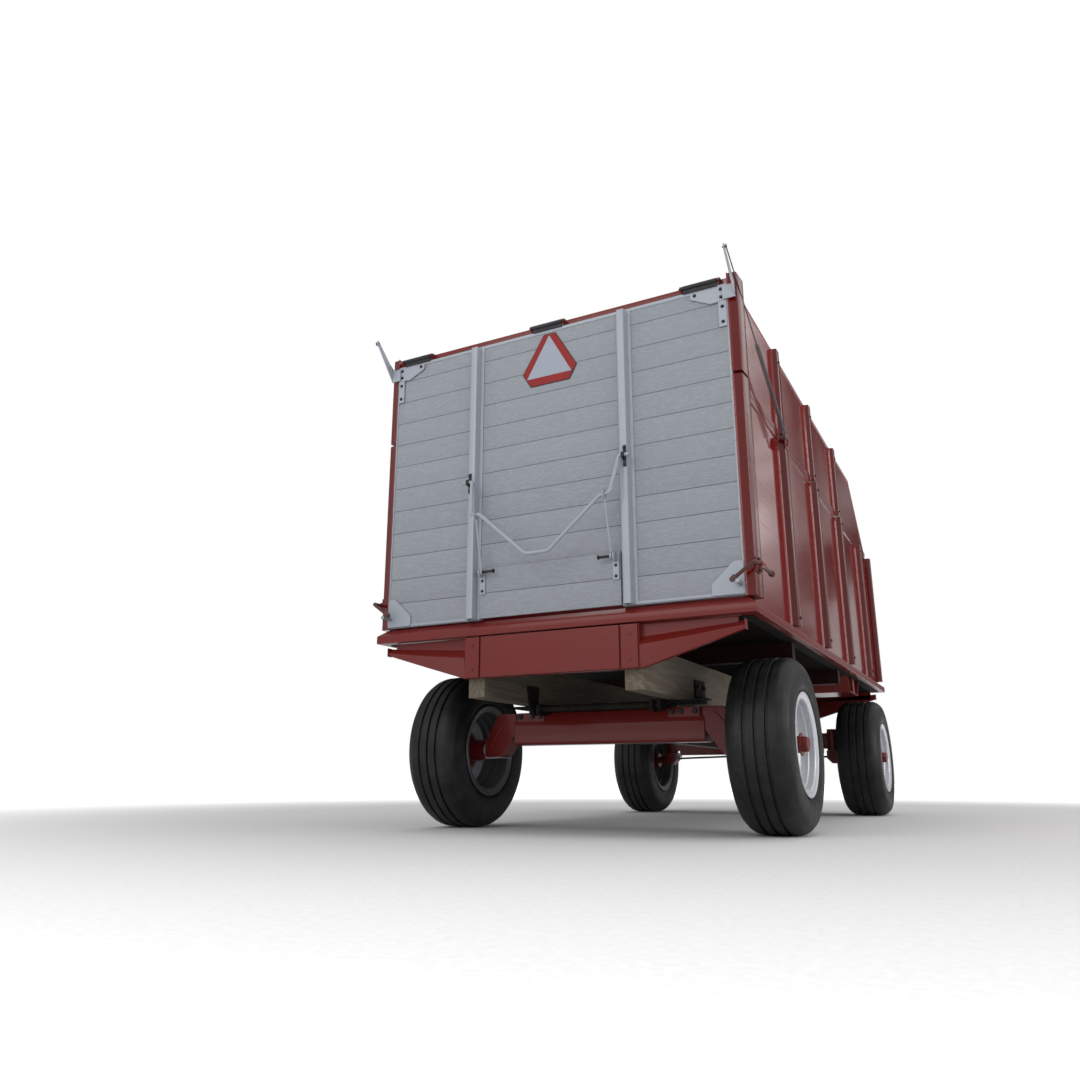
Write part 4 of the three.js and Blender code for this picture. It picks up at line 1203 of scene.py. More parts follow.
@dataclass
class UnderFrame:
    """Sills, end frames, outriggers and the folded rail round the floor."""

    rail_x: float = 0.934
    rail_y: tuple[float, float] = (-0.672, 3.083)

    def rail(self) -> Shell:
        """Folded rail mitred at its four corners.

        Each corner's points are the corner less the inset along both of its sides.

        Returns:
            The closed surface.
        """
        fold = rounded([(0.0, 0.874), (0.0, 0.911), (0.042, 0.944), (0.084, 0.944), (0.084, 0.874)], 0.004, 4)
        x, (rear, front) = self.rail_x, self.rail_y
        corner = np.array([(x, rear), (x, front), (-x, front), (-x, rear)])
        inward = np.array([(-1, 1), (-1, -1), (1, -1), (1, 1)])
        flat = corner[:, None, :] + fold[None, :, :1] * inward[:, None, :]
        height = np.broadcast_to(fold[None, :, 1:], (4, len(fold), 1))
        return from_grid(np.concatenate([flat, height], axis=2), ring=True)

    def sills(self) -> list[Shell]:
        """One timber sill with eased edges."""
        section = rounded([(0.345, 0.597), (0.430, 0.597), (0.430, 0.787), (0.345, 0.787)], 0.006, 4)
        return [prism(section, (-0.619, 2.958), "y")]

    def sill_steel(self) -> list[Shell]:
        """Hinge plate with its boss, and angle bracket of one sill.

        Returns:
            Its closed surfaces.
        """
        plate = rounded([(-0.194, 0.545), (-0.126, 0.545), (-0.100, 0.687), (-0.220, 0.687)], 0.02, 5)
        parts = [prism(plate, (0.334, 0.3445), "x")]
        parts.append(bar((0.332, -0.160, 0.575), (0.322, -0.160, 0.575), 0.034, 24))
        parts.append(block((0.4305, 0.438), (0.040, 0.190), (0.612, 0.702)))
        parts.append(block((0.438, 0.470), (0.040, 0.190), (0.612, 0.6185)))
        return parts

    def end_frame(self, end: End) -> list[Shell]:
        """Centre panel, end plates and one folded outrigger that tapers to its tip.

        Args:
            end: which end of the cart.

        Returns:
            Its closed surfaces.
        """
        out = -1 if end is End.REAR else 1
        base = -0.620 if end is End.REAR else 2.960
        rows = []
        for x, top, fold, low in (
            (0.430, 0.822, 0.776, 0.681), (0.655, 0.838, 0.800, 0.748), (0.875, 0.852, 0.828, 0.815)
        ):
            depth = 0.044 - 0.012 * (x - 0.43) / 0.445
            rows.append(
                [
                    (x, base, top), (x, base + out * depth, fold), (x, base + out * depth * 0.72, low),
                    (x, base, low),
                ]
            )
        arm = from_grid(np.array(rows))
        lip = block((0.8755, 0.880), tuple(sorted((base, base + out * 0.034))), (0.812, 0.853))
        back = block((0.345, 0.845), tuple(sorted((base, base + out * 0.006))), (0.815, 0.8715))
        core = block((0.0, 0.430), tuple(sorted((base, base + out * 0.036))), (0.682, 0.870))
        return [arm, lip, back, core]

    def panels(self, end: End) -> list[Shell]:
        """Raised centre panel and end plates.

        Args:
            end: which end of the cart.

        Returns:
            Its closed surfaces.
        """
        out = -1 if end is End.REAR else 1
        base = -0.620 if end is End.REAR else 2.960
        depth = tuple(sorted((base + out * 0.036, base + out * 0.046)))
        half = [(0.350, 0.684), (0.426, 0.684), (0.426, 0.868), (0.350, 0.868)]
        centre = [(-0.342, 0.684), (0.342, 0.684), (0.342, 0.868), (-0.342, 0.868)]
        return [prism(rounded(centre, 0.006), depth, "y"), *both([prism(rounded(half, 0.006), depth, "y")])]

    def build(self) -> None:
        """Adds the pieces under the floor."""
        add_piece("floor rail", "box", RED, [self.rail()], ["bottom_rail"], 0.0015)
        add_piece("sills", "box", SILL_WOOD, both(self.sills()), ["sill_right", "sill_left"], 0.002)
        # the sill steel is near black as painted shade
        add_piece("sill steel", "box", STEEL_IN_PAINTED_SHADE, both(self.sill_steel()), bevel=0.0015)
        bolts = [hex_head((0.438, y, 0.668), (1, 0, 0), 0.019, 0.010) for y in (0.070, 0.160)]
        for end, node, face, out in (
            (End.REAR, "rear_end_frame", -0.666, -1), (End.FRONT, "front_end_frame", 3.006, 1)
        ):
            shells = both(self.end_frame(end)) + self.panels(end)
            add_piece(f"{end.value} end frame", "box", RED, shells, [node], 0.0015)
            heads = [hex_head((0.388, face, z), (0, out, 0), 0.014, 0.0045) for z in (0.722, 0.830)]
            add_piece(f"{end.value} frame bolts", "box", RED, both(heads))
        add_piece("bracket bolts", "box", DARK_STEEL, both(bolts))
        # the floor edge strips are near black as painted shade
        strips = [block((0.850, 0.9), (-0.600, 3.0), (0.8705, 0.8735))]
        add_piece("floor edge strips", "box", STEEL_IN_PAINTED_SHADE, both(strips))


# ---------------------------------------------------------------- box: walls

STAKES = (0.190, 0.990, 1.790, 2.590)


def stake(y: float, foot: float, face: float, out: float, z: tuple[float, float]) -> Shell:
    """Hat-section stake lying on a side wall.

    Args:
        y: its middle along the cart.
        foot: half the width over its flanges.
        face: half the width of its outer face.
        out: X of its outer face.
        z: its bottom and top.

    Returns:
        The closed surface.
    """
    turn = face + 0.006
    outline = [(0.8885, y - foot), (0.8885, y + foot), (0.8918, y + foot), (0.8918, y + turn)]
    outline += [(out, y + face), (out, y - face), (0.8918, y - turn), (0.8918, y - foot)]
    return prism(rounded(outline, 0.005, 4), z, "z")


@dataclass
class SideWalls:
    """Lower and upper wall, stakes, top edge and fasteners of one side."""

    side: Side
    sheet: tuple[float, float] = (0.865, 0.890)
    lower_out: float = 0.925
    upper_out: float = 0.917
    lower_z: tuple[float, float] = (0.9450, 1.912)
    upper_z: tuple[float, float] = (1.926, 2.400)
    post: tuple[tuple[float, float], ...] = (
        (0.8885, -0.6535),
        (0.8885, -0.5250),
        (0.8918, -0.5250),
        (0.8918, -0.5360),
        (0.9360, -0.5460),
        (0.9300, -0.6420),
        (0.8918, -0.6460),
        (0.8918, -0.6535),
    )

    def lower(self) -> list[Shell]:
        """Lower wall sheet with its stakes and front post.

        Returns:
            Its closed surfaces.
        """
        parts = [block(self.sheet, (-0.620, 3.041), (0.9444, 1.9190))]
        parts += [stake(y, 0.050, 0.030, self.lower_out, self.lower_z) for y in STAKES]
        parts.append(prism(rounded(self.post, 0.005), self.lower_z, "z"))
        front_post = rounded([(0.8885, 2.979), (0.932, 2.984), (0.932, 3.036), (0.8885, 3.040)], 0.006)
        parts.append(prism(front_post, (0.9450, 1.900), "z"))
        parts.append(block((0.8895, 0.8955), (-0.555, 2.978), (1.8860, 1.9185)))
        return parts

    def upper(self) -> list[Shell]:
        """Upper wall sheet, sloped down at the front, with its stakes and rolled top edge.

        Returns:
            Its closed surfaces.
        """
        outline = [(-0.620, 1.9205), (3.041, 1.9205), (2.500, 2.3935), (-0.620, 2.3935)]
        parts = [prism(outline, self.sheet, "x")]
        parts += [stake(y, 0.045, 0.0270, self.upper_out, self.upper_z) for y in STAKES[:3]]
        parts.append(prism(rounded(self.post, 0.005), self.upper_z, "z"))
        parts.append(block((0.8895, 0.8955), (-0.560, 3.02), (1.9215, 1.9500)))
        parts.append(bar((0.884, -0.618, 2.3880), (0.884, 2.498, 2.3880), 0.0100, 12))
        parts.append(bar((0.884, 2.500, 2.3870), (0.884, 3.028, 1.9240), 0.0090, 12))
        return parts

    def hardware(self) -> list[Shell]:
        """Latch eye on the rear post and the hook that holds the assist spring.

        Returns:
            Its closed surfaces.
        """
        parts = [block((0.932, 0.9365), (-0.640, -0.580), (1.040, 1.104))]
        parts.append(bar((0.945, -0.636, 1.072), (0.945, -0.584, 1.072), 0.0160, 20))
        bends = [(0.922, 0.164, 1.862), (0.938, 0.164, 1.862), (0.938, 0.164, 1.880), (0.938, 0.136, 1.888)]
        hook = fillet_route(bends, 0.01)
        parts += [block((0.924, 0.9285), (0.145, 0.215), (1.846, 1.904)), tube(hook, 0.0045, 10)]
        return parts

    def fasteners(self) -> list[Shell]:
        """Screw heads along the stake flanges, lap bolts at the seam and bolts on the brackets.

        Returns:
            Its closed surfaces.
        """
        rows = [(y + s * 0.0455, z) for y in STAKES for s in (-1, 1) for z in np.arange(1.0, 1.9, 0.118)]
        rows += [(-0.5300, z) for z in np.arange(1.0, 1.9, 0.118)]
        rows += [(y + s * 0.041, z) for y in STAKES[:3] for s in (-1, 1) for z in np.arange(1.97, 2.38, 0.1)]
        found = [dome((0.8915, y, z), (1, 0, 0), 0.0042, 0.003) for y, z in rows]
        lower = [(self.lower_out, y, z) for y in STAKES for z in (0.985, 1.868)]
        upper = [(self.upper_out, y, z) for y in STAKES[:3] for z in (1.957, 2.330)]
        found += [hex_head(foot, (1, 0, 0), 0.012, 0.006) for foot in lower]
        found += [hex_head(foot, (1, 0, 0), 0.012, 0.005) for foot in upper]
        found += [hex_head((0.9365, -0.610, z), (1, 0, 0), 0.012, 0.006) for z in (1.047, 1.097)]
        return found

    def build(self) -> None:
        """Adds the side's pieces."""
        word = self.side.word
        for level, shells in (("lower", self.lower()), ("upper", self.upper())):
            node = f"{level}_side_{word}"
            add_piece(f"{level} wall {word}", "box", WALL_RED, for_side(shells, self.side), [node], 0.0012)
        add_piece(f"wall hardware {word}", "box", RED, for_side(self.hardware(), self.side), bevel=0.001)
        add_piece(f"wall fasteners {word}", "box", DARK_STEEL, for_side(self.fasteners(), self.side))


HINGE_X = (-0.768, 0.0, 0.768)


@dataclass
class EndWalls:
    """Front wall with its sloped upper part, and the gate's header with its hinge lugs."""

    slope: tuple[tuple[float, float], ...] = (
        (3.041, 0.9444),
        (3.041, 1.920),
        (2.500, 2.395),
        (2.475, 2.389),
        (3.016, 1.908),
        (3.016, 0.9444),
    )
    inner_x: tuple[float, float] = (-0.8645, 0.8645)

    def front(self) -> list[Shell]:
        """Front wall and three ribs standing on it.

        Returns:
            Its closed surfaces.
        """
        parts = [prism(self.slope, self.inner_x, "x")]
        parts += [block((x - 0.035, x + 0.035), (3.0405, 3.070), (0.9450, 1.900)) for x in (-0.5, 0.0, 0.5)]
        return parts

    def header(self) -> list[Shell]:
        """Header bar and the lugs at its hinges.

        Returns:
            Its closed surfaces.
        """
        outline = rounded([(-0.619, 2.340), (-0.596, 2.340), (-0.596, 2.395), (-0.619, 2.395)], 0.004)
        parts = [prism(outline, self.inner_x, "x")]
        lug = rounded(
            [
                (-0.610, 2.345), (-0.610, 2.392), (-0.650, 2.388), (-0.668, 2.378), (-0.668, 2.366),
                (-0.650, 2.358),
            ],
            0.01,
        )
        for middle in (x + s * 0.088 for x in HINGE_X for s in (-1, 1)):
            parts.append(prism(lug, (middle - 0.0025, middle + 0.0025), "x"))
        return parts

    def build(self) -> None:
        """Adds the front wall, the header and the hinge pins."""
        add_piece("front wall", "box", WALL_RED, self.front(), ["front_wall"], 0.002)
        add_piece("gate header", "box", RED, self.header(), ["gate_header"], 0.0012)
        pins = [bar((x - 0.097, -0.655, 2.373), (x + 0.097, -0.655, 2.373), 0.0055, 14) for x in HINGE_X]
        add_piece("gate hinge pins", "box", DARK_STEEL, pins)


# ---------------------------------------------------------------- tailgate

BOARD_LOW, BOARD_HIGH, BOARD_WIDTH = 0.952, 2.334, 0.119
HALF_JOINT = 0.0006


def boards(x: tuple[float, float], low: float, high: float, y: tuple[float, float]) -> list[Shell]:
    """Boards one above another with a 1.2 mm joint at each multiple of the board width above the lowest.

    Args:
        x: the boards' two ends.
        low: the lowest board's lower edge.
        high: the highest board's upper edge.
        y: their outer and inner faces.

    Returns:
        One closed surface per board.
    """
    joints = np.arange(BOARD_LOW, BOARD_HIGH, BOARD_WIDTH)
    inner = joints[(joints > low + 0.02) & (joints < high - 0.02)]
    limits = np.concatenate([[low - HALF_JOINT], inner, [high + HALF_JOINT]])
    found = []
    for a, b in zip(limits[:-1] + HALF_JOINT, limits[1:] - HALF_JOINT):
        found.append(prism(rounded([(y[0], a), (y[0], b), (y[1], b), (y[1], a)], 0.0018, 3), x, "x"))
    return found


@dataclass
class Tailgate:
    """Boarded gate with its channels, edging, hinge barrels, corner plates, brackets and emblem."""

    face: float = -0.648
    inner: float = -0.624
    side_x: tuple[float, float] = (0.3570, 0.8800)

    def edging(self) -> list[Shell]:
        """Strips along one side and the bottom of the outer boards.

        Returns:
            Its closed surfaces.
        """
        parts = [
            block((0.8805, 0.8885), (-0.6505, -0.6235), (0.9525, 2.3335)),
            block((0.357, 0.8800), (-0.6505, -0.6485), (0.9525, 0.9640)),
        ]
        parts.append(block((0.3585, 0.8880), (-0.6485, -0.6235), (0.9490, 0.9518)))
        return parts

    def channel(self) -> list[Shell]:
        """Hat-section channel with open ends.

        Returns:
            Its closed surfaces.
        """
        outline = [(0.358, -0.6484), (0.358, -0.6514), (0.3732, -0.6514), (0.3772, -0.690), (0.4108, -0.690)]
        outline += [
            (0.4148, -0.6514), (0.430, -0.6514), (0.430, -0.6484), (0.4118, -0.6484), (0.4080, -0.6872)
        ]
        outline += [(0.3800, -0.6872), (0.3762, -0.6484)]
        return [prism(rounded(outline, 0.0022, 3), (0.9525, 2.3335), "z")]

    def clamp(self) -> list[Shell]:
        """Strap that holds the handle to its channel.

        Returns:
            Its closed surfaces.
        """
        strap = [
            (-0.690, 1.5600), (-0.690, 1.6600), (-0.6945, 1.6600), (-0.6945, 1.6280), (-0.7160, 1.6230),
            (-0.7215, 1.6150),
        ]
        strap += [(-0.7215, 1.6050), (-0.7160, 1.5970), (-0.6945, 1.5920), (-0.6945, 1.5600)]
        return [prism(rounded(strap, 0.004), (0.3940, 0.4080), "x")]

    def top(self) -> list[Shell]:
        """The barrels that turn on the header's pins, with the leaves that join them to the top strip.

        Returns:
            Its closed surfaces.
        """
        tube_profile = np.array(
            [
                (0.0058, -0.080), (0.0100, -0.080), (0.0105, -0.0795), (0.0105, 0.0795), (0.0100, 0.080),
                (0.0058, 0.080),
            ]
        )
        parts = [turned(tube_profile, (x, -0.655, 2.373), "x", 24, True) for x in HINGE_X]
        parts += [block((x - 0.078, x + 0.078), (-0.6560, -0.6500), (2.3460, 2.3680)) for x in HINGE_X]
        return parts

    def corner_plate(self) -> list[Shell]:
        """Lower corner plate, without the pin that the latch holds."""
        plate = rounded(
            [(0.750, 0.953), (0.886, 0.953), (0.886, 1.090), (0.845, 1.090), (0.750, 1.000)], 0.008
        )
        return [prism(plate, (-0.6550, -0.6486), "y")]

    def bracket(self) -> list[Shell]:
        """Upper corner plate, its strip, and the arm that the assist spring pulls on.

        Returns:
            Its closed surfaces.
        """
        plate = rounded(
            [(0.722, 2.307), (0.813, 2.262), (0.886, 2.268), (0.886, 2.334), (0.722, 2.334)], 0.006
        )
        arm = rounded(
            [(-0.656, 2.268), (-0.656, 2.334), (-0.795, 2.453), (-0.805, 2.445), (-0.801, 2.433)], 0.006
        )
        parts = [
            prism(plate, (-0.6570, -0.6516), "y"), block((0.846, 0.883), (-0.6550, -0.6516), (2.142, 2.290))
        ]
        parts += [prism(arm, (0.921, 0.926), "x"), block((0.870, 0.926), (-0.6640, -0.6580), (2.268, 2.334))]
        return parts

    def emblem(self) -> list[Shell]:
        """Triangular sign: the red border with trimmed corners, its pale field and a dark backing.

        Returns:
            The border, the field and the backing.
        """
        border = [
            (-0.090, 2.065), (0.112, 2.065), (0.151, 2.134), (0.041, 2.322), (-0.020, 2.322),
            (-0.133, 2.136),
        ]
        field_outline = [(-0.112, 2.104), (0.127, 2.104), (0.009, 2.316)]
        backing = [(0.008 + (x - 0.008) * 1.03, 2.180 + (z - 2.180) * 1.03) for x, z in border]
        plates = [prism(rounded(border, 0.004), (-0.6518, -0.6500), "y")]
        plates.append(prism(rounded(field_outline, 0.003), (-0.6526, -0.6516), "y"))
        plates.append(prism(rounded(backing, 0.005), (-0.6505, -0.6486), "y"))
        return plates

    def bolts(self) -> list[Shell]:
        """Bolts of one side of the gate.

        Returns:
            Its closed surfaces.
        """
        spots = [
            (0.743, -0.657, 2.322), (0.862, -0.657, 2.284), (0.862, -0.657, 2.322), (0.865, -0.655, 2.164),
            (0.865, -0.655, 2.238),
        ]
        spots += [(0.401, -0.6945, 1.571), (0.401, -0.6945, 1.649)]
        return [hex_head(spot, (0, -1, 0), 0.0105, 0.0055) for spot in spots]

    def screws(self) -> list[Shell]:
        """Small screw heads down a channel's flange and down the edge strip."""
        found = [dome((0.422, -0.6514, z), (0, -1, 0), 0.0035, 0.002) for z in np.arange(1.01, 2.33, 0.119)]
        return found + [
            dome((0.8845, -0.6505, z), (0, -1, 0), 0.0030, 0.002)
            for z in np.arange(1.13, 2.13, 0.119)
        ]

    def build(self) -> None:
        """Adds the gate's pieces."""
        # painted shade: a dark steel sheet inside the boards, seen only through their joints, so the gaps
        # read as deep shade
        back = [block((-0.3555, 0.3555), (-0.640, -0.6250), (1.1925, 2.3325))]
        back += both([block((0.3575, 0.8800), (-0.640, -0.6250), (0.9540, 2.3325))])
        add_piece("gate joint painted shade sheet", "tailgate", DARK_STEEL, back)
        planks = boards((-0.3564, 0.3564), 1.191, BOARD_HIGH, (self.face, self.inner))
        sides = boards(self.side_x, BOARD_LOW, BOARD_HIGH, (self.face, self.inner))
        nodes = ["gate_boards_middle", "gate_boards_right", "gate_boards_left"]
        add_piece("gate boards", "tailgate", BOARD_GREY, planks + both(sides), nodes)
        add_piece("gate edging", "tailgate", STEEL_GREY, both(self.edging()), bevel=0.0008)
        add_piece(
            "gate channels", "tailgate", STEEL_GREY, both(self.channel()),
            ["gate_channel_right", "gate_channel_left"],
        )
        add_piece("handle clamps", "tailgate", DARK_STEEL, both(self.clamp()))
        strip = [block((-0.888, 0.888), (-0.6495, -0.6240), (2.3344, 2.3500))]
        add_piece("gate top rail", "tailgate", STEEL_GREY, strip, ["gate_top_rail"], 0.0008)
        add_piece("gate hinge barrels", "tailgate", DARK_STEEL, self.top())
        add_piece("gate corner plates", "tailgate", STEEL_GREY, both(self.corner_plate()), bevel=0.001)
        pin = [bar((0.873, -0.652, 0.994), (0.873, -0.716, 0.994), 0.009, 16)]
        add_piece("gate latch pins", "tailgate", GALVANISED, both(pin))
        nodes = ["corner_bracket_right", "corner_bracket_left"]
        add_piece("corner brackets", "tailgate", STEEL_GREY, both(self.bracket()), nodes, 0.001)
        border, field_plate, backing = self.emblem()
        add_piece("emblem border", "tailgate", SIGN_RED, [border], ["slow_emblem"], 0.0004)
        add_piece("emblem field", "tailgate", SIGN_FIELD, [field_plate])
        add_piece("emblem backing", "tailgate", DARK_STEEL, [backing])
        eyes = [bar((0.9160, -0.791, 2.437), (0.937, -0.791, 2.437), 0.0040, 12)]
        add_piece("gate screws", "tailgate", STEEL_GREY, both(self.screws()))
        add_piece("gate bolts", "tailgate", DARK_STEEL, both(self.bolts() + eyes))


@dataclass
class AssistSpring:
    """Pull rod and open coil between the gate's arm and the hook on the second stake."""

    side: Side
    arm: Point = (0.933, -0.791, 2.437)
    hook: Point = (0.936, 0.136, 1.882)
    rod_length: float = 0.495
    coil_radius: float = 0.0085
    wire: float = 0.0022
    eye_wire: float = 0.0024
    pitch: float = 0.0088
    shortest: float = 0.8889

    def shells(self) -> list[Shell]:
        """Rod with an eye at each end, and the coil: a helix about the line from arm to hook.

        Returns:
            Its closed surfaces.
        """
        a, b = np.array(self.arm), np.array(self.hook)
        length = float(np.linalg.norm(b - a))
        along = (b - a) / length
        u, v = square_to(along)
        coil_from, coil_to = self.rod_length + 0.018, length - 0.030
        count = int((coil_to - coil_from) / self.pitch)
        turn = np.linspace(0, 2 * np.pi * count, count * 14 + 1)[:, None]
        place = coil_from + (coil_to - coil_from) * turn / turn[-1]
        helix = a + along * place + self.coil_radius * (np.cos(turn) * u + np.sin(turn) * v)
        parts = [tube(helix, self.wire, 6, (0.99, 0.05, 0.05))]
        parts.append(bar(a + along * 0.010, a + along * self.rod_length, 0.0028, 12))
        for centre, radius in ((0.0, 0.0085), (self.rod_length + 0.0090, 0.0105), (length - 0.0100, 0.0100)):
            angle = np.linspace(0, 2 * np.pi, 29)[:-1, None]
            loop = a + along * centre + radius * (np.cos(angle) * along + np.sin(angle) * v)
            parts.append(self.ring(loop, u))
        return parts

    def ring(self, loop: Array, across: Array) -> Shell:
        """A round wire along a closed loop that lies square to a direction.

        Args:
            loop: points along the middle of the wire.
            across: the direction that the loop lies square to.

        Returns:
            The closed surface.
        """
        middle = loop.mean(axis=0)
        spoke = (loop - middle) / np.linalg.norm(loop - middle, axis=1)[:, None]
        angle = np.linspace(0, 2 * np.pi, 9)[:-1]
        wire = np.cos(angle)[None, :, None] * spoke[:, None] + np.sin(angle)[None, :, None] * across
        return from_grid(loop[:, None, :] + self.eye_wire * wire, ring=True)

    def build(self) -> None:
        """Adds the spring, on a mesh of its own."""
        word = self.side.word
        shells = for_side(self.shells(), self.side)
        made = add_piece(f"assist spring {word}", f"assist_{word}", SPRING, shells, [f"assist_spring_{word}"])
        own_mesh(made)


# ---------------------------------------------------------------- grain door and latches


@dataclass
class GrainDoor:
    """Sliding door in the gate, the handle that lifts it and the links between them."""

    handle_radius: float = 0.0085

    def door_steel(self) -> list[Shell]:
        """Strap and lug at one side of the door."""
        lug = rounded(
            [
                (-0.664, 1.140), (-0.664, 1.186), (-0.694, 1.180), (-0.704, 1.170), (-0.704, 1.158),
                (-0.694, 1.148),
            ],
            0.006,
        )
        return [block((0.322, 0.352), (-0.668, -0.6622), (1.064, 1.182)), prism(lug, (0.334, 0.342), "x")]

    def handle(self) -> Shell:
        """The bent rod.

        Returns:
            The closed surface.
        """
        half = [
            (0.378, -0.708, 1.610), (0.376, -0.716, 1.580), (0.350, -0.755, 1.4293),
            (0.304, -0.755, 1.4240), (0.056, -0.765, 1.204),
        ]
        other = [(-x, y, z) for x, y, z in reversed(half)]
        route = fillet_route([(0.428, -0.708, 1.610), *half, *other, (-0.428, -0.708, 1.610)], 0.014, 7)
        return tube(route, self.handle_radius, 18, (0.05, 0.97, 0.22))

    def link(self) -> list[Shell]:
        """Flat eye on the door's pin, shank, and the ring round the handle's elbow.

        Returns:
            Its closed surfaces.
        """
        ring_at = (0.3265, -0.755, 1.4263)
        circle = np.linspace(0, 2 * np.pi, 11)[:-1]
        wire = np.stack([0.0185 + 0.0036 * np.cos(circle), 0.0036 * np.sin(circle)], -1)
        eye = np.array(
            [
                (0.0072, -0.0045), (0.0135, -0.0045), (0.0140, -0.0040), (0.0140, 0.0040), (0.0135, 0.0045),
                (0.0072, 0.0045),
            ]
        )
        shank = bar((0.3265, -0.6935, 1.1782), (0.3265, -0.7508, 1.4095), 0.0045, 12)
        rings = [turned(wire, ring_at, "x", 28, True), turned(eye, (0.3265, -0.690, 1.165), "x", 28, True)]
        return [*rings, shank]

    def build(self) -> None:
        """Adds the door, its pins, the handle and the two links."""
        planks = boards((-0.3565, 0.3565), 0.953, 1.188, (-0.662, -0.649))
        add_piece("grain door", "grain_door", BOARD_GREY, planks, ["grain_door"])
        add_piece("grain door straps", "grain_door", STEEL_GREY, both(self.door_steel()), bevel=0.001)
        pins = [bar((0.262, -0.690, 1.165), (0.338, -0.690, 1.165), 0.0062, 16)]
        pins.append(bar((0.262, -0.690, 1.165), (0.268, -0.690, 1.165), 0.0100, 16))
        pins += [hex_head((0.337, -0.668, z), (0, -1, 0), 0.009, 0.005) for z in (1.080, 1.128)]
        add_piece("grain door pins", "grain_door", DARK_STEEL, both(pins))
        add_piece("door handle", "handle", STEEL_GREY, [self.handle()], ["door_handle"])
        for side in Side:
            body = f"link_{side.word}"
            add_piece(
                f"door link {side.word}", body, STEEL_GREY, for_side(self.link(), side),
                [f"door_link_{side.word}"],
            )


@dataclass
class GateLatch:
    """Cranked rod that turns in its eye on the rear post and bears on the gate's pin."""

    side: Side

    def build(self) -> None:
        """Adds the rod, its grip and the flattened end that reaches the pin."""
        route = fillet_route(
            [(0.945, -0.420, 1.072), (0.945, -0.701, 1.072), (0.858, -0.701, 1.009)], 0.022, 7
        )
        rod = tube(route, 0.0078, 16, (0.2, 0.1, 0.97))
        grip_profile = np.array(
            [
                (0.0, 0.0), (0.0085, 0.0006), (0.0132, 0.004), (0.0140, 0.010), (0.0132, 0.024),
                (0.0090, 0.030), (0.0, 0.0305),
            ]
        )
        grip = turned(grip_profile, (0.945, -0.4405, 1.072), "y", 24, False)
        tip = [
            (0.866, 1.020), (0.858, 1.025), (0.841, 1.011), (0.838, 1.001), (0.845, 0.993), (0.856, 0.995),
            (0.871, 1.010),
        ]
        flat = prism(rounded(tip, 0.004), (-0.7060, -0.6960), "y")
        word = self.side.word
        shells = for_side([rod, grip, flat], self.side)
        add_piece(f"gate latch {word}", f"latch_{word}", LATCH_RED, shells, [f"gate_latch_{word}"])


# ---------------------------------------------------------------- the frame's own shapes, dressed

DRESSED: dict[str, Finish] = {
    "front_axle": RED,
    # painted shade: the reach pole, hoist saddle, hoist barrel and rear cross members take the darkened red
    "reach_pole": PAINTED_SHADE_RED,
    # painted shade: the bolsters and tip shaft take near-black steel
    "rear_bolster": STEEL_IN_PAINTED_SHADE,
    "front_bolster": STEEL_IN_PAINTED_SHADE,
    "hoist_saddle": PAINTED_SHADE_RED,
    "tip_shaft": STEEL_IN_PAINTED_SHADE,
    "knuckle_right": RED,
    "knuckle_left": RED,
    "tie_rod_right": DARK_STEEL,
    "tie_rod_left": DARK_STEEL,
    "steering_yoke": RED,
    "drawbar": RED,
    "hoist_barrel": PAINTED_SHADE_RED,
    "hoist_rod": CHROME,
    "cross_member_rear": PAINTED_SHADE_RED,
    "cross_member_hoist": PAINTED_SHADE_RED,
    "cross_member_outrigger": RED,
    # the floor's near-black timber is painted shade
    "floor": FLOOR_TIMBER_IN_PAINTED_SHADE,
}

# ---------------------------------------------------------------- setting


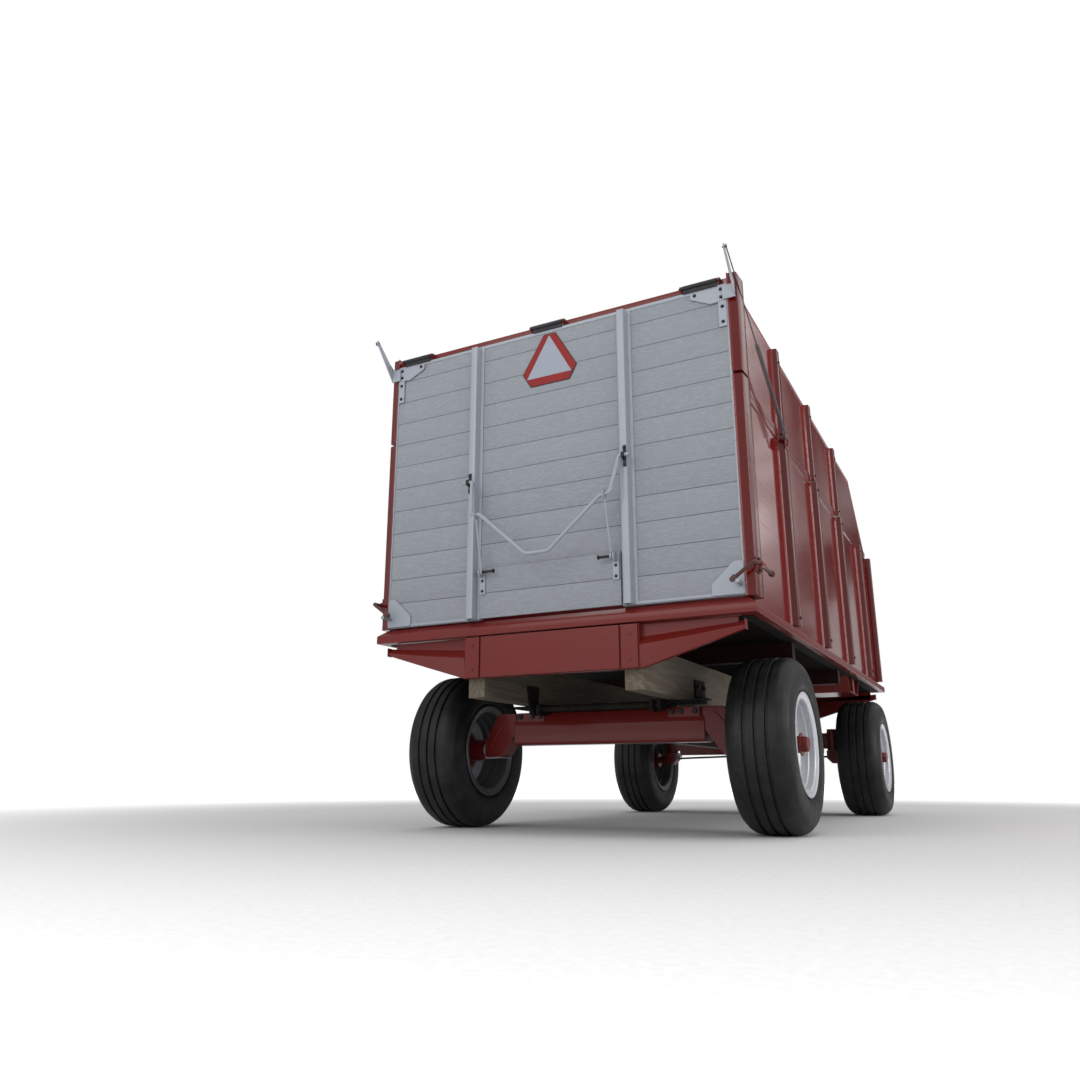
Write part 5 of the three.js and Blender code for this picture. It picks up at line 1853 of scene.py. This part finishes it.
@dataclass
class Setting:
    """Pale ground, soft light and the camera."""

    eye: Point = (1.7688, -6.0458, 0.2334)
    tilt: Point = (105.33, 0.0, 27.94)
    lens: float = 29.22
    reach: float = 60.0

    def ground(self) -> None:
        """A broad pale plane under the wheels."""
        made = bpy.data.meshes.new("ground")
        r = self.reach
        made.from_pydata([(-r, -r, 0), (r, -r, 0), (r, r, 0), (-r, r, 0)], [], [(0, 1, 2, 3)])
        plane = bpy.data.objects.new("ground", made)
        bpy.context.scene.collection.objects.link(plane)
        material = bpy.data.materials.new("pale ground")
        material.use_nodes = True
        g = Graph(material.node_tree)
        g.tree.nodes.clear()
        away = g.node("VectorMath", {0: g.here()}, operation="LENGTH").outputs["Value"]
        glow = g.remap(away, 3.0, 9.0)
        grit = g.noise(g.here(), 45.0, 8.0, 0.8)
        pale = g.mix(g.remap(grit, 0.25, 0.75), (0.58, 0.58, 0.59), (0.68, 0.68, 0.69))
        shader = g.node("BsdfPrincipled", {"Base Color": pale, "Roughness": 0.9})
        g.feed(shader.inputs["Emission Color"], g.mix(glow, (0.0, 0.0, 0.0), (1.0, 1.0, 1.0)))
        shader.inputs["Emission Strength"].default_value = 1.0
        g.node("OutputMaterial", {"Surface": shader.outputs[0]})
        made.materials.append(material)

    def sky(self) -> None:
        """Soft surroundings: pale behind and overhead, dim ahead but for a pale band and low clouds."""
        world = bpy.data.worlds.new("soft white surroundings")
        bpy.context.scene.world = world
        world.use_nodes = True
        g = Graph(world.node_tree)
        g.tree.nodes.clear()
        direction = g.node("SeparateXYZ", {0: g.node("TexCoord").outputs["Generated"]})
        across, ahead, up = (direction.outputs[axis] for axis in "XYZ")
        behind = g.remap(ahead, 0.30, -0.25)
        overhead = g.remap(up, 0.55, 0.85)
        cloud = g.remap(g.noise(g.node("TexCoord").outputs["Generated"], 9.0, 3.0), 0.44, 0.60)
        band = g.times(g.remap(across, 0.165, 0.225), g.remap(up, 0.13, 0.30))
        band = g.times(band, g.math("MULTIPLY_ADD", cloud, 0.55, 0.45))
        low = g.times(g.times(cloud, g.remap(up, 0.42, 0.16)), 0.5)
        pale = g.math("MAXIMUM", behind, overhead)
        level = g.math("MAXIMUM", pale, g.math("MAXIMUM", g.times(band, 1.5), low))
        level = g.math("MULTIPLY_ADD", level, 0.73, 0.02)
        shade = g.node("CombineColor", {0: level, 1: level, 2: level}).outputs[0]
        seen = g.node("LightPath").outputs["Is Camera Ray"]
        back = g.node("Background", {"Color": g.mix(seen, shade, (1.0, 1.0, 1.0)), "Strength": 1.0})
        g.node("OutputWorld", {"Surface": back.outputs[0]})

    def lamp(self, name: str, place: Point, aim: Point, size: float, power: float) -> None:
        """A square soft light turned to a point.

        Args:
            name: the light's name.
            place: where it hangs, in frame coordinates.
            aim: the point it faces.
            size: the length of its side.
            power: watts.
        """
        light = bpy.data.lights.new(name, "AREA")
        light.shape = "SQUARE"
        light.size = size
        light.energy = power
        made = bpy.data.objects.new(name, light)
        made.location = place
        made.rotation_euler = (Vector(aim) - Vector(place)).to_track_quat("-Z", "Y").to_euler()
        bpy.context.scene.collection.objects.link(made)

    def build(self) -> None:
        """Adds the ground, the light and the camera."""
        self.ground()
        self.sky()
        self.lamp("soft light behind", (-1.5, -9.0, 4.5), (0.0, -2.0, 1.2), 5.0, 170.0)
        self.lamp("soft light at the right", (8.0, -1.0, 3.0), (0.9, 0.0, 1.4), 4.0, 250.0)
        self.lamp("soft light overhead", (0.0, -1.0, 8.0), (0.0, -0.5, 0.0), 7.0, 160.0)
        camera = bpy.data.objects.new("camera", bpy.data.cameras.new("camera"))
        camera.data.lens = self.lens
        camera.data.sensor_width = 36.0
        camera.data.clip_end = 200.0
        camera.location = self.eye
        camera.rotation_euler = [math.radians(angle) for angle in self.tilt]
        bpy.context.scene.collection.objects.link(camera)
        bpy.context.scene.camera = camera
        bpy.context.scene.view_settings.view_transform = "Standard"


def main() -> None:
    """Builds the whole cart."""
    for end in End:
        for side in Side:
            Wheel(side, end).build()
    RearAxle().build()
    UnderFrame().build()
    EndWalls().build()
    Tailgate().build()
    GrainDoor().build()
    for side in Side:
        SideWalls(side).build()
        AssistSpring(side).build()
        GateLatch(side).build()
    for node, finish in DRESSED.items():
        dress_node(node, finish)
    Setting().build()
    bpy.context.view_layer.update()


if __name__ == "__main__":
    main()
